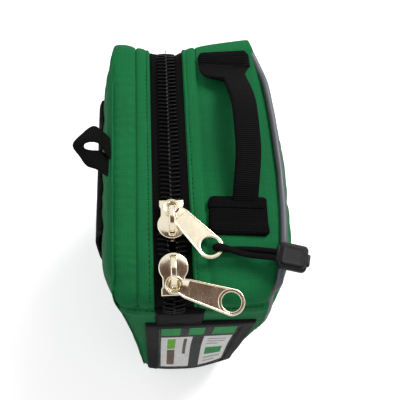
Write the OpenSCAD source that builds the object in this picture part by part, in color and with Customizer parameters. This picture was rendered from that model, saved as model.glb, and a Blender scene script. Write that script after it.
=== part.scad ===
// Soft first aid bag: off-centre double-slider zip, carry handle, hang loop, label pocket and contents.
// Millimetres. +Z up, +Y away from the label end along the zip, +X towards the piped front panel.
// The origin is the centre of the base.

/* [Bag body] */
// length along the zip
body_l = 160; // [130:1:200]
// height from the floor to the top face
body_h = 180; // [150:1:220]
// thickness across the top face
top_w = 85; // [75:1:100]
// thickness across the base
base_w = 66; // [56:1:80]
// padded cloth thickness
wall = 2.4; // [2:0.1:3]
// outward bulge of the front panel
front_bulge = 11.6; // [6:0.2:14]
// outward bulge of the back panel
back_bulge = 9.2; // [6:0.2:9.4]
// corner radius of the far top edge
far_r = 16; // [12:0.5:20]
// corner radius of the near top edge
near_r = 8; // [7:0.5:12]
// corner radius of the base edges
base_r = 16; // [10:0.5:20]
// downward slope of the top before the near edge, degrees
near_slope = 6; // [3:0.5:8]
// length of that slope
slope_run = 23.5; // [18:0.1:24]
// radius of the reflective piping on the front seam
piping_r = 1.9; // [1.5:0.1:2]

/* [Zip] */
// zip centre line
zip_x = -12.7; // [-16:0.1:-8]
// width of zip showing between the facings
zip_gap = 19.4; // [18:0.1:22]
// width of each facing strip
facing_w = 8.2; // [6:0.1:10]
// thickness of the facing cloth
facing_t = 1.2; // [0.8:0.1:1.4]
// thickness of the zip tape
tape_t = 0.8; // [0.6:0.1:1]
// near end of the opening lips
lip_y0 = -48; // [-48:0.5:-44]
// far end of the opening lips
lip_y1 = 38; // [30:0.5:44]
// height of the coil above the tape
coil_t = 2.6; // [2:0.1:3]
// half width of the closed coil chain
coil_half = 4.9; // [4.4:0.1:5.4]
// thickness of the cloth patch over each zip end
patch_t = 2.4; // [1.6:0.1:2.8]

/* [Sliders and pulls] */
// centre of the far slider along the zip
far_slider_y = -37.3; // [-37.4:0.1:-30]
// centre of the near slider along the zip
near_slider_y = -65.2; // [-65.4:0.1:-62]
// radius of a slider's round nose
slider_r = 7.4; // [7:0.1:7.6]
// width of a slider's tail
slider_tail = 12.6; // [12:0.1:13]
// thickness of a slider's plates
slider_t = 1.6; // [1.4:0.1:1.8]
// distance from puller eye to puller hole
puller_l = 28.5; // [24:0.5:32]
// thickness of the pullers
puller_t = 1.8; // [1.4:0.1:2]
// radius of a puller's round end
puller_r = 6.6; // [6.2:0.1:7]
// radius of the hole in a puller's round end
puller_hole_r = 5; // [4.6:0.1:5.2]
// radius of a puller's eye
eye_r = 4.5; // [4.2:0.1:4.8]
// radius of the hole in a puller's eye
eye_hole_r = 2.9; // [2.7:0.1:3]
// direction of the far puller, degrees from +X
far_puller_dir = -50; // [-60:1:-40]
// direction of the near puller, degrees from +X
near_puller_dir = -19; // [-30:1:-10]
// radius of the pull cord
cord_r = 1.5; // [1:0.1:1.5]
// length of the pull grip
grip_l = 14.5; // [12:0.5:20]
// width of the pull grip
grip_w = 13.5; // [9:0.5:14]
// direction of the pull grip, degrees from +X
grip_dir = -15; // [-20:1:-5]

/* [Handle and loops] */
// width of the folded handle strap
strap_w = 16; // [12:0.5:17]
// thickness of the handle strap
strap_t = 2.8; // [2:0.1:3]
// rise of the handle above its anchors
strap_rise = 12; // [10:0.5:18]
// width of the handle anchors
anchor_w = 30; // [26:0.5:32]
// centre of the handle across the bag
handle_x = 25.8; // [25.5:0.1:27]
// width of the hang loop webbing
loop_w = 26; // [20:1:30]
// reach of the hang loop
loop_l = 15.5; // [13:0.5:18]
// width of the belt band along the bag
band_w = 88; // [60:1:100]
// height of the middle of the belt band
band_z = 134; // [130:1:136]
// how far the middle of the belt band sits towards the far end
band_y = 10; // [0:1:12]
// how far the belt band bows off the back panel
band_bow = 7.9; // [7.8:0.1:9]
// thickness of the belt band
band_t = 1.6; // [1.2:0.1:2]

/* [Label pocket] */
// width of the label pocket
label_w = 61; // [50:1:62]
// height of the label pocket
label_h = 119; // [100:1:119]
// binding width around the label window
binding_w = 7.5; // [5:0.5:9]

/* [Contents] */
// length of the bandage rolls
roll_l = 50; // [40:1:50]
// radius of the large bandage roll
large_roll_r = 24; // [20:0.5:24]
// radius of the small bandage roll
small_roll_r = 18; // [14:0.5:18]
// radius of the tape roll
tape_roll_r = 22; // [18:0.5:22]
// outer radius of the tape roll's core
core_r = 13; // [11:0.5:14]

/* [Hidden] */
clear_x = 60;
near_y = -body_l/2;
far_y = body_l/2;
near_ya = near_y + near_r*(1 - sin(near_slope));
slope_y = near_ya + slope_run*cos(near_slope);
near_zc = body_h - slope_run*sin(near_slope) - near_r*cos(near_slope);
near_seam_z = near_zc - 3;
far_seam_z = body_h - far_r;
hinge_l = zip_x - zip_gap/2 - facing_w - 0.4;
hinge_r = zip_x + zip_gap/2 + facing_w + 0.4;
tape_z = body_h - facing_t - tape_t/2;
arc_n = 8;
plate_z = 5;
arch_z = plate_z + 1.25;
arch_y = -0.6;
eye_y = 6.3;
near_slider_z = body_h - (slope_y - near_slider_y)*tan(near_slope) - (facing_t + tape_t/2)/cos(near_slope);
strap_mid = 14;
strap_half = 42;
label_x = 1;
label_z = 22;
far_eye = [zip_x, far_slider_y + arch_y + eye_y, tape_z + arch_z];
far_hole = far_eye + puller_l*[cos(far_puller_dir), sin(far_puller_dir), 0];
grip_c = [45.6, -61, 186];
// pull cord points from the puller hole: towards the grip, to the side, up
cord_route = [[33.8, -1.6, 1.5], [28.4, -1.6, 1.2], [22.6, -1.6, 0.4], [17, -1.5, 0.4], [12.4, -1.2, 1.4],
    [9, -0.8, 2.4], [6, -0.3, 2.8], [3.6, 0, 2.1], [2.4, 0, 0.2], [3.4, 0, -1.8], [6, 0.3, -2.6],
    [9, 0.8, -2.6], [12.4, 1.2, -2.2], [17, 1.5, -1], [22.6, 1.6, 0.2], [28.4, 1.6, 1.2], [33.8, 1.6, 1.5]];

// half width of the gusset at height z
function half_w(z) = base_w/2 + (top_w - base_w)/2*z/body_h;
// points of an arc in the side view
function arc(c, r, a, b) = [for (i = [0:arc_n]) let (t = a + (b - a)*i/arc_n) c + r*[cos(t), sin(t)]];
// side view of the top from the far end to the near end, moved inwards by o
function top_outline(o) = concat(
    arc([far_y - far_r, body_h - far_r], far_r - o, 0, 90),
    [[slope_y + o*tan(near_slope/2), body_h - o]],
    arc([near_y + near_r, near_zc], near_r - o, 90 + near_slope, 180));
// side view of the bag, moved inwards by o
function outline(o) = concat(
    top_outline(o),
    arc([near_y + base_r, base_r], base_r - o, 180, 270),
    arc([far_y - base_r, base_r], base_r - o, 270, 360));
// rise of the handle centre line
function strap_z(y) = body_h + 4.4 + strap_rise*(1 - pow((y - strap_mid)/strap_half, 2));
function unit(v) = v/norm(v);
// rise of a panel with a given bulge at side-view point q, centred at c, where s is 1 on the seam
function rise(q, c, s, bulge) =
    let (u = 2*q[0]/body_l, v = (q[1] - c[1])/(q[1] > c[1] ? body_h - c[1] : c[1]))
    bulge*pow(1 - pow(s, 6), 0.7)*sqrt(max(0, (1 - u*u)*(1 - v*v)));

// extrudes a side-view shape across the bag
module across(x0, x1) {
    translate([x0, 0, 0]) rotate([90, 0, 90]) linear_extrude(x1 - x0) children();
}

// ring of cloth between two insets of the side view
module ring(o1, o2) {
    difference() {
        polygon(outline(o1));
        polygon(outline(o2));
    }
}

// tapered space between the front and back panels
module between_panels() {
    rotate([90, 0, 0]) linear_extrude(3*body_l, center = true)
        polygon([[-half_w(-20), -20], [half_w(-20), -20], [half_w(body_h + 20), body_h + 20],
            [-half_w(body_h + 20), body_h + 20]]);
}

module window2(y0, z0, y1, z1) {
    translate([y0, z0]) square([y1 - y0, z1 - z0]);
}

// side-view area of the top face with both rounded ends
module top_area() {
    window2(near_y - 5, near_seam_z, 0, body_h + 9);
    window2(0, far_seam_z, far_y + 5, body_h + 9);
}

module box(a, b) {
    translate(a) cube(b - a);
}

// tube of n sides along a list of points, with side axis near ref
module tube(p, r, n, ref) {
    m = len(p);
    t = [for (i = [0:m - 1]) unit(p[min(i + 1, m - 1)] - p[max(i - 1, 0)])];
    v = [for (i = [0:m - 1]) unit(cross(t[i], ref))];
    u = [for (i = [0:m - 1]) cross(v[i], t[i])];
    pts = [for (i = [0:m - 1], k = [0:n - 1]) p[i] + r*(cos(360*k/n)*u[i] + sin(360*k/n)*v[i])];
    side = [for (i = [0:m - 2], k = [0:n - 1])
        [i*n + k, (i + 1)*n + k, (i + 1)*n + (k + 1)%n, i*n + (k + 1)%n]];
    ends = [[for (k = [0:n - 1]) k], [for (k = [0:n - 1]) (m - 1)*n + n - 1 - k]];
    polyhedron(pts, concat(side, ends), convexity = 6);
}

// bulging panel on the +X side: rings of the side view shrinking to one point
module domed_panel(bulge) {
    o = outline(0);
    n = len(o);
    m = 7;
    c = [0, 0.62*body_h];
    rings = [for (k = [1:m]) [for (q = o) c + (q - c)*k/m]];
    outer = concat([[half_w(c[1]) + wall + bulge, c[0], c[1]]],
        [for (k = [1:m]) for (q = rings[k - 1]) [half_w(q[1]) + wall + rise(q, c, k/m, bulge), q[0], q[1]]]);
    inner = concat([[half_w(c[1]) + bulge, c[0], c[1]]],
        [for (k = [1:m]) for (q = rings[k - 1]) [half_w(q[1]) + rise(q, c, k/m, bulge), q[0], q[1]]]);
    s = len(outer);
    fan = [for (i = [0:n - 1]) [0, 1 + (i + 1)%n, 1 + i]];
    quads = [for (k = [0:m - 2], i = [0:n - 1])
        [1 + k*n + i, 1 + k*n + (i + 1)%n, 1 + (k + 1)*n + (i + 1)%n, 1 + (k + 1)*n + i]];
    flip_fan = [for (f = fan) [s + f[2], s + f[1], s + f[0]]];
    flip_quads = [for (f = quads) [s + f[3], s + f[2], s + f[1], s + f[0]]];
    e = 1 + (m - 1)*n;
    rim = [for (i = [0:n - 1]) [e + i, e + (i + 1)%n, s + e + (i + 1)%n, s + e + i]];
    polyhedron(concat(outer, inner), concat(fan, quads, flip_fan, flip_quads, rim), convexity = 6);
}

// bag shell

module front_panel() {
    color("green") domed_panel(front_bulge);
}

module back_panel() {
    color("green") mirror([1, 0, 0]) domed_panel(back_bulge);
}

module base_panel() {
    color("green") intersection() {
        across(-clear_x, clear_x) intersection() {
            ring(0, wall);
            window2(near_y - 5, -5, far_y + 5, base_r);
        }
        between_panels();
    }
}

module near_end_panel() {
    color("green") intersection() {
        across(-clear_x, clear_x) intersection() {
            ring(0, wall);
            window2(near_y - 5, base_r, 0, near_seam_z);
        }
        between_panels();
    }
}

module far_end_panel() {
    color("green") intersection() {
        across(-clear_x, clear_x) intersection() {
            ring(0, wall);
            window2(0, base_r, far_y + 5, far_seam_z);
        }
        between_panels();
    }
}

module top_left_panel() {
    color("green") intersection() {
        across(-clear_x, hinge_l) intersection() {
            ring(0, wall);
            top_area();
        }
        between_panels();
    }
}

module top_right_panel() {
    color("green") intersection() {
        across(hinge_r, clear_x) intersection() {
            ring(0, wall);
            top_area();
        }
        between_panels();
    }
}

module front_piping() {
    run = concat([[far_y + 0.8, base_r + 2]], top_outline(-0.8), [[near_y - 0.8, base_r + 2]]);
    path = [for (q = run) [half_w(q[1]) + 1.2, q[0], q[1]]];
    color("gray") tube(path, piping_r, 10, [1, 0, 0]);
}

// zip

module end_facing(area_y0, area_y1) {
    across(hinge_l, zip_x - zip_gap/2) intersection() {
        ring(0, facing_t);
        top_area();
        window2(area_y0, 0, area_y1, body_h + 9);
    }
    across(zip_x + zip_gap/2, hinge_r) intersection() {
        ring(0, facing_t);
        top_area();
        window2(area_y0, 0, area_y1, body_h + 9);
    }
}

module end_tape(area_y0, area_y1) {
    across(hinge_l, zip_x - 2) intersection() {
        ring(facing_t, facing_t + tape_t);
        top_area();
        window2(area_y0, 0, area_y1, body_h + 9);
    }
    across(zip_x + 2, hinge_r) intersection() {
        ring(facing_t, facing_t + tape_t);
        top_area();
        window2(area_y0, 0, area_y1, body_h + 9);
    }
}

module end_coil(area_y0, area_y1) {
    across(zip_x - coil_half, zip_x - 1.7) intersection() {
        ring(facing_t - coil_t, facing_t);
        top_area();
        window2(area_y0, 0, area_y1, body_h + 9);
    }
    across(zip_x + 1.7, zip_x + coil_half) intersection() {
        ring(facing_t - coil_t, facing_t);
        top_area();
        window2(area_y0, 0, area_y1, body_h + 9);
    }
}

module near_zip_facing() {
    color("green") end_facing(near_y - 5, lip_y0 - 0.4);
}

module far_zip_facing() {
    color("green") end_facing(lip_y1 + 0.4, far_y + 5);
}

module near_zip_tape() {
    color("black") end_tape(near_y - 5, lip_y0 - 0.4);
}

module far_zip_tape() {
    color("black") end_tape(lip_y1 + 0.4, far_y + 5);
}

module near_zip_coil() {
    color("black") end_coil(near_y - 5, lip_y0 - 0.4);
}

module far_zip_coil() {
    color("black") end_coil(lip_y1 + 0.4, far_y + 5);
}

module left_zip_facing() {
    color("green") box([hinge_l + 0.4, lip_y0, body_h - facing_t], [zip_x - zip_gap/2, lip_y1, body_h]);
}

module right_zip_facing() {
    color("green") box([zip_x + zip_gap/2, lip_y0, body_h - facing_t], [hinge_r - 0.4, lip_y1, body_h]);
}

module left_zip_tape() {
    color("black") box([hinge_l + 0.4, lip_y0, tape_z - tape_t/2], [zip_x - 2, lip_y1, tape_z + tape_t/2]);
}

module right_zip_tape() {
    color("black") box([zip_x + 2, lip_y0, tape_z - tape_t/2], [hinge_r - 0.4, lip_y1, tape_z + tape_t/2]);
}

module left_zip_coil() {
    z = tape_z + tape_t/2;
    color("black") box([zip_x - coil_half, lip_y0, z], [zip_x - 1.7, lip_y1, z + coil_t]);
}

module right_zip_coil() {
    z = tape_z + tape_t/2;
    color("black") box([zip_x + 1.7, lip_y0, z], [zip_x + coil_half, lip_y1, z + coil_t]);
}

module near_zip_patch() {
    color("black") box([zip_x - 10, near_y - patch_t, label_z + label_h + 1],
        [zip_x + 16, near_y, near_seam_z - 2.6]);
}

module far_zip_patch() {
    color("black") box([zip_x - 13, far_y, far_seam_z - 18], [zip_x + 13, far_y + patch_t, far_seam_z - 4]);
}

// sliders: tail towards +Y, origin on the tape's middle plane

module slider_plan(r, tail) {
    translate([0, -3.2]) circle(r, $fn = 48);
    translate([-(tail - 1.4)/2, -3]) square([tail - 1.4, 10]);
    translate([-tail/2, 6.8]) square([tail, 3.8]);
}

module slider_body() {
    translate([0, 0, plate_z - slider_t]) linear_extrude(slider_t) slider_plan(slider_r, slider_tail);
    translate([0, 0, -2*slider_t]) linear_extrude(slider_t) slider_plan(slider_r - 0.9, slider_tail - 1.2);
    translate([-1.3, -8.4, -2]) cube([2.6, 5, plate_z + 1]);
}

module slider_bridge() {
    outer = [for (i = [0:20]) [8.2*cos(9*i), 1.25 + 6*sin(9*i)]];
    inner = [for (i = [0:20]) [6.6*cos(9*i), 1.25 + 4.4*sin(9*i)]];
    translate([-1.3, arch_y, plate_z]) rotate([90, 0, 90]) linear_extrude(2.6) difference() {
        polygon(concat([[8.2, 0]], outer, [[-8.2, 0]]));
        polygon(concat([[6.6, -1]], inner, [[-6.6, -1]]));
    }
}

// puller lying along +X with its eye at the origin
module puller() {
    translate([0, 0, -puller_t/2]) linear_extrude(puller_t) difference() {
        union() {
            circle(eye_r, $fn = 48);
            polygon([[2.6, -3.6], [6.4, -4.8], [puller_l, -6.5], [puller_l, 6.5], [6.4, 4.8], [2.6, 3.6]]);
            translate([puller_l, 0]) circle(puller_r, $fn = 64);
        }
        circle(eye_hole_r, $fn = 48);
        translate([puller_l, 0]) circle(puller_hole_r, $fn = 48);
    }
}

module at_far_slider() {
    translate([zip_x, far_slider_y, tape_z]) children();
}

module at_near_slider() {
    translate([zip_x, near_slider_y, near_slider_z]) rotate([near_slope, 0, 0]) rotate([0, 0, 180])
        children();
}

module far_slider_body() {
    color("silver") at_far_slider() slider_body();
}

module far_slider_bridge() {
    color("silver") at_far_slider() slider_bridge();
}

module far_puller() {
    color("silver") translate(far_eye) rotate([0, 0, far_puller_dir]) puller();
}

module near_slider_body() {
    color("silver") at_near_slider() slider_body();
}

module near_slider_bridge() {
    color("silver") at_near_slider() slider_bridge();
}

module near_puller() {
    color("silver") at_near_slider() translate([0, arch_y + eye_y, arch_z])
        rotate([0, 0, near_puller_dir + 180]) puller();
}

// pull cord: one strand over the puller rim, down its hole and back under the rim

module pull_cord() {
    d = unit([grip_c[0] - far_hole[0], grip_c[1] - far_hole[1], 0]);
    s = [-d[1], d[0], 0];
    path = [for (p = cord_route) far_hole + p[0]*d + p[1]*s + [0, 0, p[2]]];
    color("black") tube(path, cord_r, 8, s);
}

module pull_grip() {
    color("black") translate(grip_c) rotate([0, 0, grip_dir]) {
        translate([-grip_l/2, -grip_w/2 + 2, -2.8]) cube([grip_l, grip_w - 4, 4.4]);
        translate([-grip_l/2 + 2, -grip_w/2, -2.8]) cube([grip_l - 4, grip_w, 4.4]);
        for (i = [-1, 1], j = [-1, 1]) {
            translate([i*(grip_l/2 - 2), j*(grip_w/2 - 2), -2.8]) cylinder(4.4, r = 2, $fn = 32);
        }
        translate([grip_l/2 - 1, -3, -2]) cube([2, 6, 2.6]);
    }
}

module pull_grip_cover() {
    color("dimgray") translate(grip_c) rotate([0, 0, grip_dir])
        translate([-grip_l/2 + 1.6, -grip_w/2 + 1.6, 1.6]) cube([grip_l - 3.2, grip_w - 3.2, 1.2]);
}

// handle

module strap_piece(y0, y1) {
    n = 12;
    up = [for (i = [0:n]) let (y = y0 + (y1 - y0)*i/n) [y, strap_z(y) + strap_t/2]];
    down = [for (i = [0:n]) let (y = y1 + (y0 - y1)*i/n) [y, strap_z(y) - strap_t/2]];
    across(handle_x - strap_w/2, handle_x + strap_w/2) polygon(concat(up, down));
}

module handle_strap() {
    color("black") strap_piece(-10, 39);
}

module near_handle_anchor() {
    color("black") {
        box([handle_x + 11 - anchor_w, -46, body_h], [handle_x + 11, -27, body_h + 3.3]);
        strap_piece(-28, -10.4);
    }
}

module far_handle_anchor() {
    color("black") {
        box([handle_x + 11 - anchor_w, 53, body_h], [handle_x + 11, 64, body_h + 3.3]);
        strap_piece(39.4, 57);
    }
}

// hang loop of webbing, open between its two layers

module hang_loop() {
    tip = [for (i = [0:20]) let (a = -105 + 10.5*i) [loop_l + 4.8*cos(a), 4.8*sin(a)]];
    hole = [for (i = [0:20]) let (a = -105 + 10.5*i) [loop_l + 3.2*cos(a), 3.2*sin(a)]];
    color("black") translate([-half_w(body_h) - wall - 2.6, -loop_w/2, body_h - 1.2]) rotate([0, 0, 180])
        rotate([90, 0, 0]) linear_extrude(loop_w) difference() {
            polygon(concat([[0, -1.5]], tip, [[0, 1.5]]));
            polygon(concat([[4.2, 0]], hole));
        }
}

// belt band bowed away from the back panel, sewn along its top and bottom edges

module belt_band() {
    n = 12;
    edge_x = half_w(band_z) + wall + back_bulge - 2.2;
    out = [for (i = [0:n]) let (t = -1 + 2*i/n) [-(edge_x + band_bow*(1 - pow(t, 4))), band_z + 26*t]];
    in = [for (i = [0:n]) let (t = 1 - 2*i/n) [-(edge_x + band_bow*(1 - pow(t, 4)) - band_t), band_z + 26*t]];
    color("black") translate([0, band_y, 0]) rotate([90, 0, 0]) linear_extrude(band_w, center = true)
        polygon(concat(out, in));
}

// label pocket on the near end

module label_binding() {
    color("black") difference() {
        box([label_x - label_w/2, near_y - 2, label_z], [label_x + label_w/2, near_y, label_z + label_h]);
        box([label_x - label_w/2 + binding_w, near_y - 3, label_z + binding_w],
            [label_x + label_w/2 - binding_w, near_y + 1, label_z + label_h - binding_w]);
    }
}

module label_window() {
    color("lightgray") box([label_x - label_w/2 + binding_w, near_y - 1.4, label_z + binding_w],
        [label_x + label_w/2 - binding_w, near_y - 1, label_z + label_h - binding_w]);
}

module label_card() {
    color("white") box([label_x - label_w/2 + binding_w + 0.5, near_y - 0.7, label_z + binding_w + 0.5],
        [label_x + label_w/2 - binding_w - 0.5, near_y - 0.1, label_z + label_h - binding_w - 0.5]);
}

// inside

module divider_panel() {
    color("darkgreen") box([-31, near_y + wall, wall + base_r], [-30, far_y - wall, 105]);
}

module tool_band() {
    color("black") box([-30, 22, 66], [-28.8, 66, 84]);
}

module tweezers() {
    color("silver") across(-28.4, -24.4) difference() {
        polygon([[44, 118], [39, 40], [40.4, 40], [45, 100], [49.6, 40], [51, 40], [46, 118]]);
        translate([45, 112]) circle(0.6, $fn = 24);
    }
}

module bandage_roll_large() {
    color("white") translate([-20, -50, wall + large_roll_r + 0.6]) rotate([0, 90, 0])
        cylinder(roll_l, r = large_roll_r, $fn = 64);
}

module bandage_roll_small() {
    color("white") translate([-20, -6, wall + small_roll_r + 0.6]) rotate([0, 90, 0])
        cylinder(roll_l, r = small_roll_r, $fn = 64);
}

module tape_roll() {
    color("white") translate([-20, 40, wall + tape_roll_r + 0.6]) rotate([0, 90, 0]) difference() {
        cylinder(25, r = tape_roll_r, $fn = 64);
        translate([0, 0, -1]) cylinder(27, r = core_r, $fn = 64);
    }
}

module tape_core() {
    color("tan") translate([-20.5, 40, wall + tape_roll_r + 0.6]) rotate([0, 90, 0]) difference() {
        cylinder(26, r = core_r, $fn = 64);
        translate([0, 0, -1]) cylinder(28, r = core_r - 1.5, $fn = 64);
    }
}

module gauze_packs() {
    color("white") for (i = [0:3]) {
        box([-20, -74, 52 + 6.5*i], [30, -20, 58 + 6.5*i]);
    }
}

module plaster_box() {
    color("white") box([-20, 20, 50], [30, 68, 96]);
}

module wipe_packs() {
    color("lightblue") for (i = [0:4]) {
        box([-18, -16, 42 + 5.4*i], [28, 17, 47 + 5.4*i]);
    }
}

module glove_pack() {
    color("lightblue") box([-20, -72, 80], [30, 14, 98]);
}

module foil_blanket_pack() {
    color("silver") box([-40, -44, 34], [-31.6, 44, 98]);
}

front_panel();
back_panel();
base_panel();
near_end_panel();
far_end_panel();
top_left_panel();
top_right_panel();
front_piping();
near_zip_facing();
far_zip_facing();
near_zip_tape();
far_zip_tape();
near_zip_coil();
far_zip_coil();
left_zip_facing();
right_zip_facing();
left_zip_tape();
right_zip_tape();
left_zip_coil();
right_zip_coil();
near_zip_patch();
far_zip_patch();
far_slider_body();
far_slider_bridge();
far_puller();
near_slider_body();
near_slider_bridge();
near_puller();
pull_cord();
pull_grip();
pull_grip_cover();
handle_strap();
near_handle_anchor();
far_handle_anchor();
hang_loop();
belt_band();
label_binding();
label_window();
label_card();
divider_panel();
tool_band();
tweezers();
bandage_roll_large();
bandage_roll_small();
tape_roll();
tape_core();
gauze_packs();
plaster_box();
wipe_packs();
glove_pack();
foil_blanket_pack();
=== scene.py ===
import math

import bmesh
import bpy
import numpy as np
from mathutils import Matrix, Vector


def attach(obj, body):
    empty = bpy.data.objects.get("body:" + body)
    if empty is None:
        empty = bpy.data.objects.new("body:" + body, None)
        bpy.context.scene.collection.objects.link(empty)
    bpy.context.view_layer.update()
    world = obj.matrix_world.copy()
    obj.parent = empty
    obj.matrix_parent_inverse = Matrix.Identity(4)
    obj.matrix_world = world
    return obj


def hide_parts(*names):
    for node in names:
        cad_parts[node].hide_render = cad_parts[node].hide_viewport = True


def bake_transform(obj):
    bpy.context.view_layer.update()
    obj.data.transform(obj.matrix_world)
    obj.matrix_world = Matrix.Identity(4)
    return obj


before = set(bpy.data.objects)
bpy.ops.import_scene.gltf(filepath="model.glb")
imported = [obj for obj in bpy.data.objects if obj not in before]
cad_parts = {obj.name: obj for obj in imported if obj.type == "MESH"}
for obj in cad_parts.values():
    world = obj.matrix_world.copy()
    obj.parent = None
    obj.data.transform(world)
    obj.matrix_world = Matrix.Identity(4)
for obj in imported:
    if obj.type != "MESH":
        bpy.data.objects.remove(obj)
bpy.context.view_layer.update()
mm = 0.001
scene = bpy.context.scene
scene.view_settings.view_transform = "Standard"
sideways, lengthways, upward = np.eye(3)

# camera: where the photo was taken from, in millimetres and degrees
camera = {"place": (-18.5, -146.9, 428.0), "yaw": -9.8, "tilt": 26.4, "roll": 7.3, "lens": 47.7,
          "sensor": 36.0}
nearestSeen = 0.01


def addCamera():
    # looks down its own -Z, turned by yaw, then tilt, then roll
    data = bpy.data.cameras.new("photoCamera")
    data.lens = camera["lens"]
    data.sensor_width = camera["sensor"]
    data.clip_start = nearestSeen
    item = bpy.data.objects.new("photoCamera", data)
    scene.collection.objects.link(item)
    turn = Matrix.Identity(4)
    for angle, axis in ((camera["yaw"], "Z"), (camera["tilt"], "X"), (camera["roll"], "Z")):
        turn = turn @ Matrix.Rotation(math.radians(angle), 4, axis)
    item.matrix_world = Matrix.Translation([c * mm for c in camera["place"]]) @ turn
    scene.camera = item


addCamera()
print("camera placed")


# plain formulas
def smooth(x, low, high):
    # 0 below low, 1 above high, with level ends
    t = np.clip((x - low) / (high - low), 0, 1)
    return t * t * (3 - 2 * t)


def hump(x, centre, width):
    # bell curve: 1 at centre, about a third at one width from it
    return np.exp(-(((x - centre) / width) ** 2))


def spotAt(y, z, centreY, centreZ, reach):
    # round bell curve in the side view
    return np.exp(-((y - centreY) ** 2 + (z - centreZ) ** 2) / reach**2)


def crowned(v):
    # 0 at both edges, 1 in the middle
    return 4 * v * (1 - v)


def eased(count):
    # 0 to 1 in steps that are closer at both ends
    return 0.5 - 0.5 * np.cos(np.linspace(0, np.pi, count))


def circle(count):
    return np.linspace(0, 2 * np.pi, count, endpoint=False)


def quarter(count):
    return np.radians(np.linspace(0, 90, count))


def ripple(a, b, size, seed, count=6):
    # sum of a few waves of about one size, each with its own heading and phase, within about +-1
    dice = np.random.default_rng(seed)
    headings = dice.uniform(0, np.pi, count)
    phases = dice.uniform(0, 2 * np.pi, count)
    stretches = dice.uniform(0.7, 1.6, count)
    total = 0
    for heading, phase, stretch in zip(headings, phases, stretches):
        run = a * np.cos(heading) + b * np.sin(heading)
        total = total + np.sin(2 * np.pi * run / (size * stretch) + phase)
    return total / count**0.5 / 1.4


def unit(v):
    return v / np.maximum(np.linalg.norm(v, axis=-1, keepdims=True), 1e-12)


# lines and outlines, in millimetres
def lengths(path):
    # distance run along a line of points
    return np.concatenate([[0.0], np.cumsum(np.linalg.norm(np.diff(path, axis=0), axis=1))])


def closedLine(line):
    return np.concatenate([line, line[:1]])


def curveThrough(points, count):
    # smooth line through points: a cubic per span, with end slopes taken from the points on either side
    p = np.asarray(points, float)
    slope = np.gradient(p, axis=0)
    t = np.linspace(0, len(p) - 1, count)
    k = np.minimum(t.astype(int), len(p) - 2)
    f = (t - k)[:, None]
    fromPoint = 2 * f**3 - 3 * f**2 + 1
    fromSlope = f**3 - 2 * f**2 + f
    toPoint = 3 * f**2 - 2 * f**3
    toSlope = f**3 - f**2
    return fromPoint * p[k] + fromSlope * slope[k] + toPoint * p[k + 1] + toSlope * slope[k + 1]


def evenly(path, step):
    # the same line with points about step apart
    run = lengths(path)
    at = np.linspace(0, run[-1], max(2, int(round(run[-1] / step)) + 1))
    return np.stack([np.interp(at, run, path[:, k]) for k in range(path.shape[1])], -1)


def levelLine(x, y, z):
    # line of points from values that may each be one number or many
    return np.stack(np.broadcast_arrays(x, y, z), -1).astype(float)


def atHeight(flat, z):
    # flat outline lifted to one height
    return np.concatenate([flat, np.full((len(flat), 1), float(z))], -1)


def frames(path, near):
    # side and up directions along a path, with side as close as may be to near
    t = unit(np.gradient(path, axis=0))
    up = unit(np.cross(t, np.broadcast_to(near, t.shape)))
    return np.cross(up, t), up


def roundBar(radius, sides):
    a = circle(sides)
    return np.stack([radius * np.cos(a), radius * np.sin(a)], -1)


def roundedBox(wide, tall, radius, steps=5):
    # outline of a rectangle with rounded corners, anticlockwise: a quarter arc turned to each corner
    a = quarter(steps)
    outline = []
    for k, (signX, signY) in enumerate(((1, 1), (-1, 1), (-1, -1), (1, -1))):
        turned = a + k * np.pi / 2
        middle = [signX * (wide / 2 - radius), signY * (tall / 2 - radius)]
        outline.append(radius * np.stack([np.cos(turned), np.sin(turned)], -1) + middle)
    return np.concatenate(outline)


# meshes
def gridQuads(rows, columns, wrap=False, wrapRows=False):
    # corner numbers of each cell of a grid, and the same corners as unwrapped (row, column) places
    rowCells = np.arange(rows if wrapRows else rows - 1)
    columnCells = np.arange(columns if wrap else columns - 1)
    i, j = np.meshgrid(rowCells, columnCells, indexing="ij")
    spots = [(i, j), (i + 1, j), (i + 1, j + 1), (i, j + 1)]
    quads = np.stack([(a % rows) * columns + b % columns for a, b in spots], -1).reshape(-1, 4)
    cells = np.stack([np.stack([a, b], -1) for a, b in spots], -2).reshape(-1, 4, 2)
    return quads, cells


def clothOf(face, corner):
    # cloth coordinates of a group of faces, all nought where there are none
    if corner is None:
        return np.zeros((np.size(face), 2))
    return np.asarray(corner, float).reshape(-1, 2)


def addPiece(name, verts, faces, corners, material, picks=None, crease=42):
    # faces: arrays of corner numbers; corners: the cloth coordinates of each corner in millimetres, or None
    mesh = bpy.data.meshes.new(name)
    points = (np.asarray(verts, float) * mm).tolist()
    mesh.from_pydata(points, [], [list(map(int, face)) for group in faces for face in group])
    layer = mesh.uv_layers.new(name="cloth")
    flat = np.concatenate([clothOf(face, corner) for face, corner in zip(faces, corners)])
    layer.data.foreach_set("uv", (flat * mm).ravel())
    for item in material if isinstance(material, list) else [material]:
        mesh.materials.append(item)
    if picks is not None:
        mesh.polygons.foreach_set("material_index", np.asarray(picks, np.int32))
    work = bmesh.new()
    work.from_mesh(mesh)
    bmesh.ops.recalc_face_normals(work, faces=work.faces)
    work.to_mesh(mesh)
    work.free()
    mesh.polygons.foreach_set("use_smooth", np.ones(len(mesh.polygons), bool))
    mesh.set_sharp_from_angle(angle=math.radians(crease))
    mesh.update()
    piece = bpy.data.objects.new(name, mesh)
    scene.collection.objects.link(piece)
    return piece


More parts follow.
